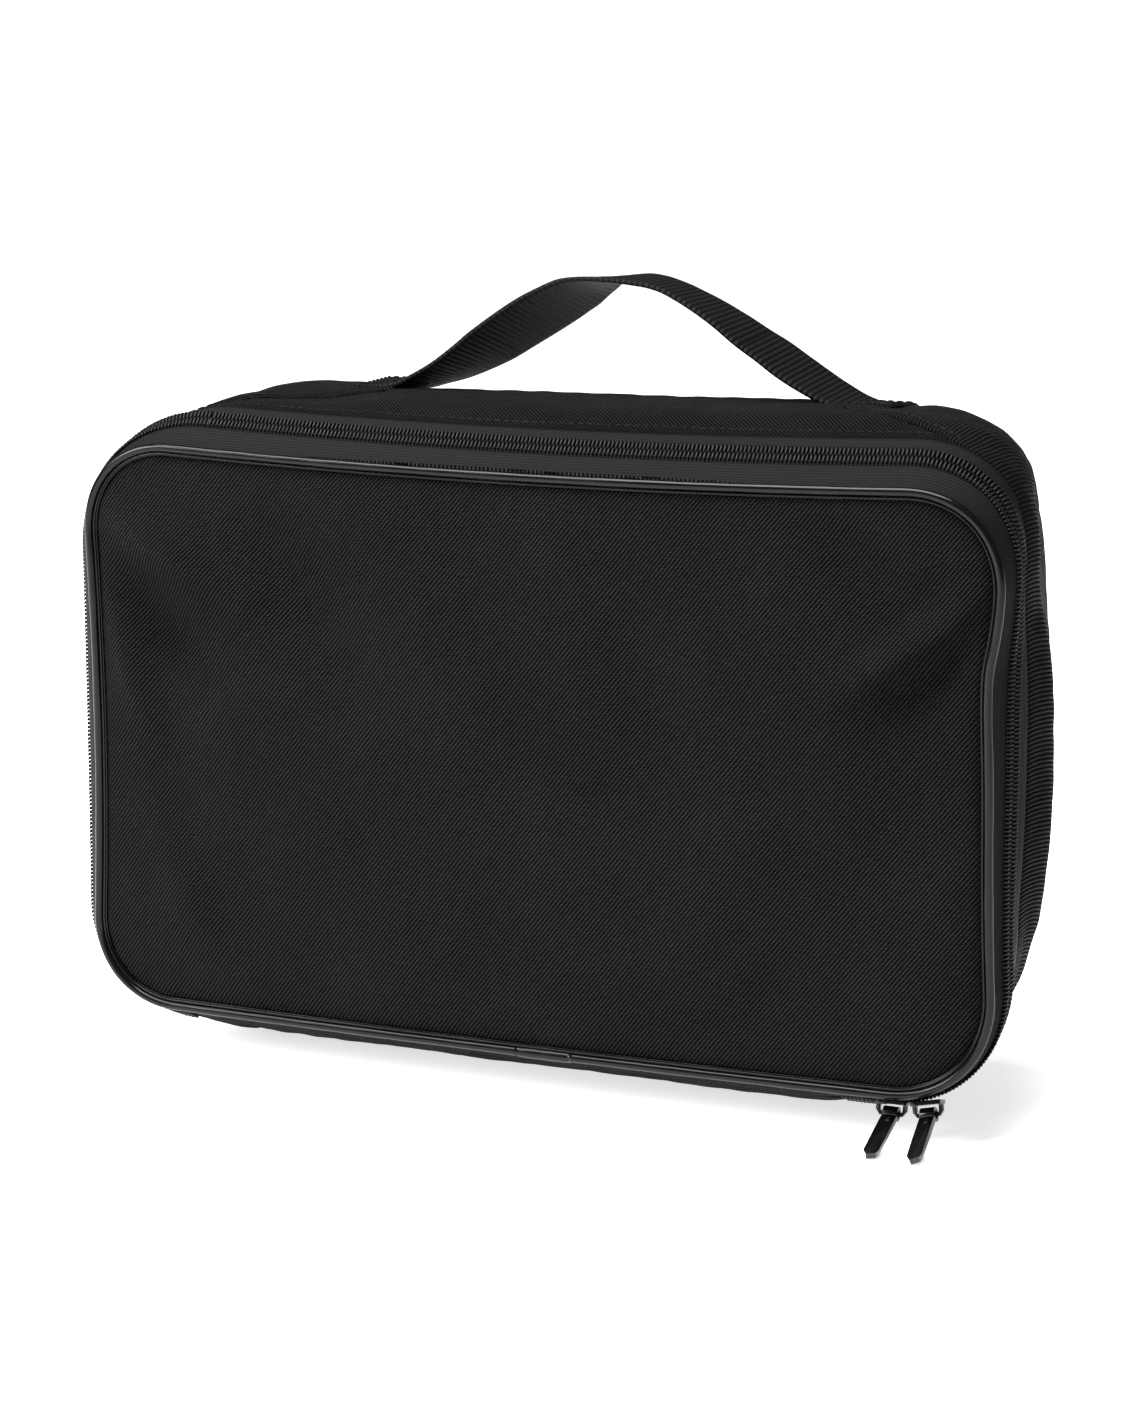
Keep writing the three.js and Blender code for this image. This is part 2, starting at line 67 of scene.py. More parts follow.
# x, y pairs as a smooth curve that doesn't overshoot.
def curveThrough(table):
    xs, ys = np.array(table, float).T
    step = np.diff(ys) / np.diff(xs)
    slope = np.zeros(len(xs))
    for i in range(1, len(xs) - 1):
        a, b = step[i - 1], step[i]
        slope[i] = 0 if a * b <= 0 else 2 * a * b / (a + b)
    slope[0], slope[-1] = step[0], step[-1]

    def value(x):
        x = np.clip(np.asarray(x, float), xs[0], xs[-1])
        i = np.clip(np.searchsorted(xs, x) - 1, 0, len(xs) - 2)
        h = xs[i + 1] - xs[i]
        t = (x - xs[i]) / h
        return (ys[i] * (1 + 2 * t) * (1 - t) ** 2 + slope[i] * h * t * (1 - t) ** 2
                + ys[i + 1] * t * t * (3 - 2 * t) + slope[i + 1] * h * t * t * (t - 1))
    return value


caseShape = {
    "right": [(0, 149), (8, 151.5), (16, 153), (28, 154.5), (40, 152), (60, 146), (80, 140.5), (92, 136)],
    "left": [(0, 149.5), (3, 152.6), (8, 153.8), (16, 154.3), (28, 154.5), (40, 151), (60, 145.5), (80, 140.5),
             (92, 136)],
    "top": [(0, 90), (2.5, 91.6), (13, 102), (17, 103.2), (28, 105.2), (45, 105.5), (60, 104.5), (72, 101.5),
            (82, 97.5), (88, 93.5), (92, 88)],
    "bottom": [(0, 90), (2.5, 91.4), (10, 96), (18, 100), (28, 104.4), (34, 106), (60, 106), (72, 105),
               (82, 101), (88, 95), (92, 88)],
    "topRightRadius": [(0, 31), (16, 37), (40, 40), (92, 38)],
    "topLeftRadius": [(0, 30), (6, 40), (14, 51), (26, 57), (60, 54), (92, 42)],
    "bottomRightRadius": [(0, 33), (6, 38), (12, 50), (20, 68), (28, 76), (60, 78), (92, 58)],
    "bottomLeftRadius": [(0, 28), (16, 42), (32, 56), (60, 60), (92, 46)],
    "topSag": [(0, 4.0), (14, 3.0), (30, 0.5), (92, 0)],  # how far each side is drawn in at its middle
    "rightSag": [(0, 4.2), (11, 2.4), (28, 0), (92, 0)],
    "leftSag": [(0, 3.4), (4, 1.2), (10, 0.3), (28, 0), (92, 0)],
    "bottomSag": [(0, -1.2), (12, 0), (92, 0)],
}
shape = {name: curveThrough(table) for name, table in caseShape.items()}
sideSteps = {"top": 150, "right": 90, "bottom": 150, "left": 90}
cornerSteps = 26


# Closed loop of [x, z] at a depth, clockwise from the left end of the top, always the same count.
def outline(y, inset=0.0):
    g = {name: float(f(y)) for name, f in shape.items()}
    right, left = g["right"] - inset, g["left"] - inset
    top, bottom = g["top"] - inset, g["bottom"] - inset
    rTR, rTL = g["topRightRadius"] - inset, g["topLeftRadius"] - inset
    rBR, rBL = g["bottomRightRadius"] - inset, g["bottomLeftRadius"] - inset

    def straight(a, b, n):
        t = np.linspace(0, 1, n, endpoint=False)[:, None]
        return np.array(a) * (1 - t) + np.array(b) * t

    def corner(cx, cz, r, start):
        a = np.radians(start - np.linspace(0, 90, cornerSteps, endpoint=False))
        return np.stack([cx + r * np.cos(a), cz + r * np.sin(a)], 1)

    loop = np.vstack([
        straight((-left + rTL, top), (right - rTR, top), sideSteps["top"]),
        corner(right - rTR, top - rTR, rTR, 90),
        straight((right, top - rTR), (right, -bottom + rBR), sideSteps["right"]),
        corner(right - rBR, -bottom + rBR, rBR, 0),
        straight((right - rBR, -bottom), (-left + rBL, -bottom), sideSteps["bottom"]),
        corner(-left + rBL, -bottom + rBL, rBL, -90),
        straight((-left, -bottom + rBL), (-left, top - rTL), sideSteps["left"]),
        corner(-left + rTL, top - rTL, rTL, 180),
    ])
    x, z = loop.T.copy()
    u, v = x / 150, z / 90
    sagZ = np.where(z > 0, g["topSag"], -g["bottomSag"]) * np.abs(v) ** 3 * (1 - np.clip(u, -1, 1) ** 2)
    sagX = np.where(x > 0, g["rightSag"], -g["leftSag"]) * np.abs(u) ** 3 * (1 - np.clip(v, -1, 1) ** 2)
    # where the piping kinks in on the right, above its middle
    kink = 1.8 * np.exp(-((z - 36) / np.where(z > 36, 11, 24)) ** 2) * np.clip(1 - y / 14, 0, 1) * (x > 120)
    # behind the zip the right side slackens above and below its middle, and the top leans up to the right
    slack = 5.0 * np.exp(-((z - 64) / 26) ** 2) * np.clip((96 - z) / 14, 0, 1) + 3.0 * np.exp(-((z + 42) / 22) ** 2)
    slack = slack * (x > 100) * float(np.clip((y - 6) / 18, 0, 1)) * float(np.clip((100 - y) / 30, 0, 1))
    lean = 0.015 * x * (z > 40) * np.clip((z - 40) / 50, 0, 1) * float(np.clip((y - 10) / 20, 0, 1))
    return np.stack([x - sagX - kink - slack, z - sagZ + lean], 1)


loopCount = len(outline(0))


# Unit normals of a rows x cols grid of points.
def normals(grid, wrap=False):
    if wrap:
        padded = np.concatenate([grid[:, -1:], grid, grid[:, :1]], 1)
        along = (padded[:, 2:] - padded[:, :-2])
    else:
        along = np.gradient(grid, axis=1)
    across = np.gradient(grid, axis=0)
    n = np.cross(along, across)
    return n / np.maximum(np.linalg.norm(n, axis=-1, keepdims=True), 1e-9)


# Normals that point away from the middle of the case.
def outward(grid, wrap=False):
    n = normals(grid, wrap)
    away = grid - caseMiddle
    return n if (n * away).sum() > 0 else -n


def linkMesh(name, vertices, faces, material, uv=None):
    mesh = bpy.data.meshes.new(name)
    mesh.from_pydata([tuple(v) for v in vertices], [], faces)
    mesh.materials.append(material)
    if uv is not None:
        layer = mesh.uv_layers.new(name="cloth")
        loops = np.empty(len(mesh.loops), int)
        mesh.loops.foreach_get("vertex_index", loops)
        layer.data.foreach_set("uv", np.asarray(uv, float)[loops].ravel())
    mesh.polygons.foreach_set("use_smooth", [True] * len(mesh.polygons))
    mesh.update()
    piece = bpy.data.objects.new(name, mesh)
    bpy.context.scene.collection.objects.link(piece)
    return piece


# Hides the frame nodes a piece stands in for, and hangs it on the body it moves with.
def settle(piece, owner=None, nodes=()):
    if nodes:
        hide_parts(*nodes)
    if owner:
        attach(piece, owner)


# Distances along and across the grid, in metres, so that a weave keeps its size.
def clothUv(grid):
    g = grid / 1000
    u = np.zeros(g.shape[:2])
    u[:, 1:] = np.cumsum(np.linalg.norm(np.diff(g, axis=1), axis=2), axis=1)
    u -= u[:, [u.shape[1] // 2]]
    v = np.zeros(g.shape[:2])
    v[1:] = np.cumsum(np.linalg.norm(np.diff(g, axis=0), axis=2), axis=0)
    v[:] = v.mean(1)[:, None]
    return np.stack([u, v], -1)


# A cloth of even thickness whose outer face is the grid.
def clothPiece(name, grid, thickness, material, wrap=False, keepUv=None):
    rows, cols = grid.shape[:2]
    n = outward(grid, wrap)
    outer, inner = grid.reshape(-1, 3), (grid - n * thickness).reshape(-1, 3)
    count = rows * cols
    span = cols if wrap else cols - 1
    r, c = np.meshgrid(np.arange(rows - 1), np.arange(span), indexing="ij")
    c2 = (c + 1) % cols
    quad = np.stack([r * cols + c, r * cols + c2, (r + 1) * cols + c2, (r + 1) * cols + c], -1).reshape(-1, 4)
    # turn the faces to the normals
    p = outer[quad[:, :3]]
    facing = (np.cross(p[:, 1] - p[:, 0], p[:, 2] - p[:, 0]) * n.reshape(-1, 3)[quad[:, 0]]).sum()
    if facing < 0:
        quad = quad[:, ::-1]
    faces = np.vstack([quad, quad[:, ::-1] + count])
    rims = []
    edgeRows = [np.arange(cols), (rows - 1) * cols + np.arange(cols)]
    for k, line in enumerate(edgeRows):
        a, b = line, np.roll(line, -1)
        if not wrap:
            a, b = line[:-1], line[1:]
        rim = np.stack([a, b, b + count, a + count], 1)
        rims.append(rim if (k == 1) ^ (facing < 0) else rim[:, ::-1])
    if not wrap:
        for k, line in enumerate([np.arange(rows) * cols, np.arange(rows) * cols + cols - 1]):
            rim = np.stack([line[:-1], line[1:], line[1:] + count, line[:-1] + count], 1)
            rims.append(rim if (k == 0) ^ (facing < 0) else rim[:, ::-1])
    faces = np.vstack([faces, *rims]).tolist()
    uv = (clothUv(grid) if keepUv is None else keepUv).reshape(-1, 2)
    return linkMesh(name, toWorld(np.vstack([outer, inner])), faces, material, np.vstack([uv, uv]))


# Vertices and faces of a tube along a path; up is each point's outward direction.
def sweptTube(path, radiusA, radiusB, up, sides=12, closed=True):
    path, up = np.asarray(path, float), np.asarray(up, float)
    n = len(path)
    if closed:
        tangent = np.roll(path, -1, 0) - np.roll(path, 1, 0)
    else:
        tangent = np.gradient(path, axis=0)
    tangent /= np.linalg.norm(tangent, axis=1, keepdims=True)
    up = up - (up * tangent).sum(1, keepdims=True) * tangent
    up /= np.linalg.norm(up, axis=1, keepdims=True)
    across = np.cross(tangent, up)
    a = np.linspace(0, 2 * math.pi, sides, endpoint=False)
    rA = np.broadcast_to(np.asarray(radiusA, float), (n,))[:, None, None]
    rB = np.broadcast_to(np.asarray(radiusB, float), (n,))[:, None, None]
    v = path[:, None] + up[:, None] * np.cos(a)[None, :, None] * rA + across[:, None] * np.sin(a)[None, :, None] * rB
    faces = []
    for i in range(n if closed else n - 1):
        for k in range(sides):
            i2, k2 = (i + 1) % n, (k + 1) % sides
            faces.append((i * sides + k, i * sides + k2, i2 * sides + k2, i2 * sides + k))
    if not closed:
        faces.append(tuple(range(sides)))
        faces.append(tuple((n - 1) * sides + k for k in reversed(range(sides))))
    return v.reshape(-1, 3), faces


# Several (vertices, faces) as one.
def joined(parts):
    vertices, faces, base = [], [], 0
    for v, f in parts:
        vertices.append(v)
        faces.extend([tuple(i + base for i in face) for face in f])
        base += len(v)
    return np.vstack(vertices), faces


# A small shape repeated: each place is (origin, xAxis, yAxis, zAxis).
def stamp(shapeVertices, shapeFaces, places):
    sv = np.asarray(shapeVertices, float)
    allV, allF = [], []
    for k, (o, ax, ay, az) in enumerate(places):
        allV.append(np.asarray(o) + sv[:, :1] * ax + sv[:, 1:2] * ay + sv[:, 2:3] * az)
        base = k * len(sv)
        allF.extend([tuple(i + base for i in f) for f in shapeFaces])
    return np.vstack(allV), allF


# A rounded rod along x, lying half sunk at z = 0.
def capsule(length, width, height, rings=6, power=0.6):
    v, f, sides = [], [], 8
    for i in range(rings + 1):
        t = -1 + 2 * i / rings
        r = max(1 - abs(t) ** 2.6, 0.02) ** power
        for k in range(sides):
            a = 2 * math.pi * k / sides
            v.append((t * length / 2, math.cos(a) * width / 2 * r, math.sin(a) * height / 2 * r))
    for i in range(rings):
        for k in range(sides):
            k2 = (k + 1) % sides
            f.append((i * sides + k, i * sides + k2, (i + 1) * sides + k2, (i + 1) * sides + k))
    f.append(tuple(reversed(range(sides))))
    f.append(tuple(rings * sides + k for k in range(sides)))
    return v, f


# Points along a polyline at an even spacing, and their fractional indices.
def evenly(path, spacing, closed=False):
    p = np.asarray(path, float)
    if closed:
        p = np.vstack([p, p[:1]])
    s = np.concatenate([[0], np.cumsum(np.linalg.norm(np.diff(p, axis=0), axis=1))])
    count = int(s[-1] / spacing)
    at = (np.arange(count) + 0.5) * s[-1] / count
    index = np.interp(at, s, np.arange(len(p)))
    return np.stack([np.interp(at, s, p[:, k]) for k in range(3)], 1), index


# Lockstitches lying along a seam line.
def stitches(path, up, pitch=3.0, length=2.3, width=0.5, height=0.42):
    points, index = evenly(path, pitch)
    path, up = np.asarray(path, float), np.asarray(up, float)
    n = len(path)
    places = []
    for p, i in zip(points, index):
        i0 = int(i) % n
        i1 = min(i0 + 1, n - 1)
        t = path[i1] - path[i0]
        if np.linalg.norm(t) < 1e-9:
            t = path[i0] - path[i0 - 1]
        t = t / np.linalg.norm(t)
        u = up[i0] / np.linalg.norm(up[i0])
        places.append((p, t, np.cross(u, t), u))
    v, f = capsule(length, width, height)
    return stamp(v, f, places)


# sRGB hex as linear RGBA.
def linear(hexColour):
    channels = [int(hexColour[i:i + 2], 16) / 255 for i in (1, 3, 5)]
    return [c / 12.92 if c <= 0.04045 else ((c + 0.055) / 1.055) ** 2.4 for c in channels] + [1.0]


# A node with its settings (attributes or input values) and links {input: (node, output)}.
def addNode(tree, kind, settings=None, links=None):
    node = tree.nodes.new(kind)
    for key, value in (settings or {}).items():
        if isinstance(key, str) and hasattr(node, key):
            setattr(node, key, value)
        else:
            node.inputs[key].default_value = value
    for key, (source, output) in (links or {}).items():
        tree.links.new(source.outputs[output], node.inputs[key])
    return node


def newMaterial(name, settings):
    material = bpy.data.materials.new(name)
    material.use_nodes = True
    tree = material.node_tree
    tree.nodes.clear()
    shader = addNode(tree, "ShaderNodeBsdfPrincipled", settings)
    addNode(tree, "ShaderNodeOutputMaterial", {}, {"Surface": (shader, "BSDF")})
    return material, tree, shader


# Scale at which a wave texture repeats every pitch millimetres of a coordinate in metres.
def waveScale(pitch):
    return 2 * math.pi / (20 * pitch / 1000)


# Polyester twill, woven and dyed black: fine slanting ribs catch the light, and the cloth has a dull bloom.
# Real ribs are about 0.6 mm apart and the yarns that cross them 0.4 mm: both are drawn coarser, so that they show.
twillLook = {"dark": "#010101", "light": "#1b1b1e", "ribs": 1.05, "slub": 0.6, "sheen": 0.015, "gloss": 0.05}
# Nylon lining, plain woven: a dark grey that is paler and smoother than the outside.
liningLook = {"dark": "#19191c", "light": "#2e2e33", "ribs": 0.9, "slub": 0.5, "sheen": 0.35, "gloss": 0.15}


def twillMaterial(name, look, lean=1):
    material, tree, shader = newMaterial(name, {
        "IOR": 1.45, "Specular IOR Level": look["gloss"],
        "Sheen Weight": look["sheen"], "Sheen Roughness": 0.45, "Sheen Tint": linear("#5a5a60")})
    uv = addNode(tree, "ShaderNodeUVMap", {"uv_map": "cloth"})
    turned = addNode(tree, "ShaderNodeMapping", {"Rotation": (0, 0, lean * math.radians(38))}, {"Vector": (uv, "UV")})
    ribs = addNode(tree, "ShaderNodeTexWave", {
        "wave_type": "BANDS", "bands_direction": "X", "Scale": waveScale(look["ribs"]), "Distortion": 0.6,
        "Detail": 2.0, "Detail Scale": 3.0}, {"Vector": (turned, "Vector")})
    yarns = addNode(tree, "ShaderNodeTexWave", {
        "wave_type": "BANDS", "bands_direction": "Y", "Scale": waveScale(look["slub"]), "Distortion": 1.2,
        "Detail": 2.0, "Detail Scale": 2.0}, {"Vector": (uv, "UV")})
    # thick places in the yarn, about 4 mm long and 0.7 mm across, and faint worn patches 45 mm across
    stretched = addNode(tree, "ShaderNodeMapping", {"Scale": (260, 1500, 1)}, {"Vector": (uv, "UV")})
    slubs = addNode(tree, "ShaderNodeTexNoise", {"Scale": 1.0, "Detail": 3.0, "Roughness": 0.65},
                    {"Vector": (stretched, "Vector")})
    worn = addNode(tree, "ShaderNodeTexNoise", {"Scale": 22.0, "Detail": 4.0, "Roughness": 0.6},
                   {"Vector": (uv, "UV")})
    cell = addNode(tree, "ShaderNodeMath", {"operation": "MULTIPLY"}, {0: (ribs, "Fac"), 1: (yarns, "Fac")})
    mixA = addNode(tree, "ShaderNodeMath", {"operation": "MULTIPLY_ADD", 1: 0.55}, {0: (ribs, "Fac"), 2: (cell, 0)})
    mixB = addNode(tree, "ShaderNodeMath", {"operation": "MULTIPLY_ADD", 1: 0.7}, {0: (slubs, "Fac"), 2: (mixA, 0)})
    mixC = addNode(tree, "ShaderNodeMath", {"operation": "MULTIPLY_ADD", 1: 0.5}, {0: (worn, "Fac"), 2: (mixB, 0)})
    ramp = addNode(tree, "ShaderNodeMapRange", {"From Min": 0.85, "From Max": 1.75}, {"Value": (mixC, 0)})
    polish = addNode(tree, "ShaderNodeMapRange", {"From Min": 0.85, "From Max": 1.75, "To Min": 1.0,
                                                  "To Max": 0.35}, {"Value": (mixC, 0)})
    tree.links.new(polish.outputs["Result"], shader.inputs["Roughness"])
    colour = addNode(tree, "ShaderNodeMix", {"data_type": "RGBA"}, {0: (ramp, "Result")})
    colour.inputs[6].default_value = linear(look["dark"])
    colour.inputs[7].default_value = linear(look["light"])
    tree.links.new(colour.outputs[2], shader.inputs["Base Color"])
    bump = addNode(tree, "ShaderNodeBump", {"Strength": 0.9, "Distance": 0.0003}, {"Height": (mixB, 0)})
    tree.links.new(bump.outputs["Normal"], shader.inputs["Normal"])
    return material


twill = twillMaterial("twillWovenPolyester", twillLook, 1)
twillTurned = twillMaterial("twillWovenPolyesterTurned", twillLook, -1)
liningCloth = twillMaterial("liningPlainWovenNylon", liningLook)


# A coated or moulded surface with a fine, uneven skin.
def satinMaterial(name, base, mottled, roughness, grain, depth, extra=None, detail=3.0):
    material, tree, shader = newMaterial(name, {"Roughness": roughness, **(extra or {})})
    place = addNode(tree, "ShaderNodeTexCoord")
    skin = addNode(tree, "ShaderNodeTexNoise", {"Scale": 1000 / grain, "Detail": detail},
                    {"Vector": (place, "Object")})
    blotch = addNode(tree, "ShaderNodeTexNoise", {"Scale": 60.0, "Detail": 4.0}, {"Vector": (place, "Object")})
    spread = addNode(tree, "ShaderNodeMapRange", {"From Min": 0.3, "From Max": 0.7, "To Min": roughness * 0.75,
                                                  "To Max": min(roughness * 1.35, 1)}, {"Value": (blotch, "Fac")})
    tree.links.new(spread.outputs["Result"], shader.inputs["Roughness"])
    colour = addNode(tree, "ShaderNodeMix", {"data_type": "RGBA"}, {0: (blotch, "Fac")})
    colour.inputs[6].default_value = linear(base)
    colour.inputs[7].default_value = linear(mottled)
    tree.links.new(colour.outputs[2], shader.inputs["Base Color"])
    bump = addNode(tree, "ShaderNodeBump", {"Strength": 0.4, "Distance": depth / 1000}, {"Height": (skin, "Fac")})
    tree.links.new(bump.outputs["Normal"], shader.inputs["Normal"])
    return material


# PVC-coated piping, extruded smooth: a wet-looking black with long soft highlights, uneven over about 1 mm.
pipingVinyl = satinMaterial("pipingExtrudedVinyl", "#030303", "#0a0a0b", 0.15, 1.111, 0.03,
                            {"IOR": 1.53, "Specular IOR Level": 0.13})
# Nylon monofilament, moulded into a coil: satin black, with a skin of 0.4 mm grain.
coilNylon = satinMaterial("zipCoilNylon", "#040405", "#0b0b0c", 0.45, 0.4, 0.03,
                          {"IOR": 1.53, "Specular IOR Level": 0.14})
# Zinc alloy, die cast and black nickel plated: a dark mirror with bright edges, slightly wavy over 1.4 mm.
blackNickel = satinMaterial("blackNickelPlatedZinc", "#070708", "#131314", 0.22, 1.429, 0.02,
                            {"Metallic": 0.7, "Coat Weight": 0.3, "Coat Roughness": 0.12})
# Polyester sewing thread, twisted: dull black, with a turn of its plies every 0.33 mm.
threadPolyester = satinMaterial("threadTwistedPolyester", "#070708", "#0e0e0f", 0.7, 0.3333, 0.06,
                                {"Specular IOR Level": 0.12})
# Polyurethane foam, sliced from a block: matt grey with open cells, 0.7 mm across.
foamPolyurethane = satinMaterial("foamPolyurethane", "#5d5d60", "#7a7a7d", 0.95, 0.6667, 0.3, detail=6.0)
# Polypropylene board, extruded in a sheet: dark grey with a low, even shine and a 2 mm roller texture.
boardPolypropylene = satinMaterial("boardExtrudedPolypropylene", "#2c2c2e", "#3a3a3c", 0.5, 2.0, 0.1)


# Narrow woven goods: ribs across or along a tape, and the yarns in them.
def ribbedMaterial(name, dark, light, pitch, direction, sheen, strength=0.6, fine=0.35):
    material, tree, shader = newMaterial(name, {
        "Roughness": 0.55, "IOR": 1.45, "Specular IOR Level": 0.07, "Sheen Weight": sheen, "Sheen Roughness": 0.4,
        "Sheen Tint": linear("#66666c")})
    uv = addNode(tree, "ShaderNodeUVMap", {"uv_map": "cloth"})
    other = "Y" if direction == "X" else "X"
    ribs = addNode(tree, "ShaderNodeTexWave", {
        "wave_type": "BANDS", "bands_direction": direction, "Scale": waveScale(pitch), "Distortion": 0.4},
        {"Vector": (uv, "UV")})
    yarns = addNode(tree, "ShaderNodeTexWave", {
        "wave_type": "BANDS", "bands_direction": other, "Scale": waveScale(fine), "Distortion": 0.8},
        {"Vector": (uv, "UV")})
    fuzz = addNode(tree, "ShaderNodeTexNoise", {"Scale": 900.0, "Detail": 3.0}, {"Vector": (uv, "UV")})
    mixA = addNode(tree, "ShaderNodeMath", {"operation": "MULTIPLY_ADD", 1: 0.25},
                   {0: (yarns, "Fac"), 2: (ribs, "Fac")})
    mixB = addNode(tree, "ShaderNodeMath", {"operation": "MULTIPLY_ADD", 1: 0.4}, {0: (fuzz, "Fac"), 2: (mixA, 0)})
    ramp = addNode(tree, "ShaderNodeMapRange", {"From Min": 0.2, "From Max": 1.4}, {"Value": (mixB, 0)})
    colour = addNode(tree, "ShaderNodeMix", {"data_type": "RGBA"}, {0: (ramp, "Result")})
    colour.inputs[6].default_value = linear(dark)
    colour.inputs[7].default_value = linear(light)
    tree.links.new(colour.outputs[2], shader.inputs["Base Color"])
    bump = addNode(tree, "ShaderNodeBump", {"Strength": strength, "Distance": 0.0003}, {"Height": (mixB, 0)})
    tree.links.new(bump.outputs["Normal"], shader.inputs["Normal"])
    return material


# Polypropylene webbing, woven with a heavy weft: deep ribs across it with a light sheen.
webbingPolypropylene = ribbedMaterial("webbingWovenPolypropylene", "#010101", "#111113", 1.85, "X", 0.01, 0.9)
# Polyester zip tape, herringbone woven: matt, with ribs along it.
zipTape = ribbedMaterial("zipTapeWovenPolyester", "#050506", "#131315", 0.9, "Y", 0.02)
# Elastic, woven round rubber threads 1 mm apart: lines along it, and a faint bloom.
elasticBand = ribbedMaterial("elasticBandWoven", "#101012", "#29292d", 1.0, "Y", 0.2)
# Binding tape, woven in polyester grosgrain: close cross ribs 0.8 mm apart and a faint bloom.
bindingTape = ribbedMaterial("bindingTapeWoven", "#111113", "#26262a", 0.8, "X", 0.2)
# Polyester net, warp knitted with holes 1.8 mm apart: a dark net with paler cords.
netMesh = ribbedMaterial("pocketKnittedMesh", "#0a0a0b", "#2d2d31", 1.8, "X", 0.2, 1.0, 1.8)
print("materials made")


frontPanel = {
    "crown": 4.8, "crownReach": 80,  # how far the padding pushes it out, and how far in from the rim that takes
    "dive": 3.8, "diveReach": 2.0,  # how far it dives in beside the piping
    "foldDepth": 3.6, "unevenness": 0.5, "crumple": 0.05, "pucker": 0.16,
    "inset": 0.8, "rows": 170, "cols": 250,
    # soft ridges and hollows: from and to (x, z), half width, height
    "folds": [
        ((-143, 66), (-92, 45), 6.5, 1.5),
        ((-143, 52), (-104, 20), 8.0, -1.5),
        ((-143, 40), (-118, -12), 8.0, 1.3),
        ((-128, 20), (-112, -30), 9.0, -0.9),
        ((144, 59), (100, 29), 6.5, 1.5),
        ((144, 47), (112, 20), 7.0, -1.0),
        ((80, 84), (134, 46), 9.0, -1.3),
        ((-95, 75), (-58, 28), 10.0, -1.2),
        ((-60, 80), (-20, 30), 14.0, 0.7),
        ((30, 60), (44, 5), 14.0, -0.8),
        ((60, 30), (95, -20), 12.0, -0.7),
        ((8, -3), (38, -2), 1.6, 0.3),
        ((-120, -40), (-100, -75), 9.0, 0.7),
        ((40, -60), (70, -35), 9.0, 0.6),
        ((70, -75), (88, -50), 7.0, -0.6),
    ],
}


def segmentDistance(x, z, a, b):
    ax, az = a
    dx, dz = b[0] - ax, b[1] - az
    t = np.clip(((x - ax) * dx + (z - az) * dz) / (dx * dx + dz * dz), 0, 1)
    return np.hypot(x - ax - t * dx, z - az - t * dz), t


# A smooth uneven surface from a few crossed waves, about 1 high.
def ripple(x, z, seed, size, count=9):
    rng = np.random.default_rng(seed)
    total = np.zeros_like(x)
    for _ in range(count):
        a, p = rng.uniform(0, 2 * math.pi, 2)
        k = 2 * math.pi / (size * rng.uniform(0.6, 1.6))
        total += np.sin(k * (x * math.cos(a) + z * math.sin(a)) + p)
    return total / math.sqrt(count)


# How far points lie from a closed outline.
def rimDistance(x, z, loop):
    p = np.stack([x.ravel(), z.ravel()], 1)
    a, b = loop, np.roll(loop, -1, 0)
    d = b - a
    long = np.maximum((d * d).sum(1), 1e-9)
    nearest = np.empty(len(p))
    for start in range(0, len(p), 2000):
        q = p[start:start + 2000, None] - a
        t = np.clip((q * d).sum(2) / long, 0, 1)
        nearest[start:start + 2000] = np.linalg.norm(q - t[..., None] * d, axis=2).min(1)
    return nearest.reshape(x.shape)


# Depth of the front panel: a padded crown that dives in beside the piping.
def frontSurface(x, z, inset):
    p = frontPanel
    rim = rimDistance(x, z, outline(0, inset))
    height = p["crown"] * (1 - (1 - np.clip(rim / p["crownReach"], 0, 1)) ** 2.6) + 0.3
    height -= p["dive"] * np.exp(-rim / p["diveReach"])
    calm = 1 - np.exp(-(rim / 7) ** 2)
    for a, b, half, tall in p["folds"]:
        d, t = segmentDistance(x, z, a, b)
        taper = 0.25 + 0.75 * np.sin(math.pi * np.clip(t, 0.04, 0.96))
        height += p["foldDepth"] * tall * np.exp(-(d / half) ** 2) * taper * calm
    height += (p["unevenness"] * ripple(x, z, 4, 52) + p["crumple"] * ripple(x, z, 9, 11)) * calm
    # small puckers where the seam gathers the cloth
    along = np.where(np.abs(x) / 150 > np.abs(z) / 90, z, x)
    gathers = np.sin(along * 0.9 + 2 * np.sin(along * 0.13))
    height += p["pucker"] * gathers * np.exp(-rim / 4.5) * np.clip(rim / 2, 0, 1)
    return -height


# A grid of [x, z] that fills a closed outline, row by row.
def scanRows(loop, rows, cols):
    zTop, zLow = loop[:, 1].max(), loop[:, 1].min()
    t = np.linspace(-1, 1, rows)
    t = 0.35 * t + 0.65 * np.sin(t * math.pi / 2)
    level = (zTop + zLow) / 2 + (zTop - zLow) / 2 * t * 0.99995
    closed = np.vstack([loop, loop[:1]])
    grid = np.zeros((rows, cols, 2))
    spread = np.linspace(-1, 1, cols)
    spread = 0.6 * spread + 0.4 * np.sin(spread * math.pi / 2)
    for i, z in enumerate(level):
        a, b = closed[:-1], closed[1:]
        hit = (a[:, 1] - z) * (b[:, 1] - z) <= 0
        a, b = a[hit], b[hit]
        rise = b[:, 1] - a[:, 1]
        s = np.where(np.abs(rise) < 1e-9, 0.5, (z - a[:, 1]) / np.where(rise == 0, 1, rise))
        xs = a[:, 0] + s * (b[:, 0] - a[:, 0])
        lo, hi = xs.min(), xs.max()
        grid[i] = np.stack([(lo + hi) / 2 + (hi - lo) / 2 * spread, np.full(cols, z)], 1)
    return grid


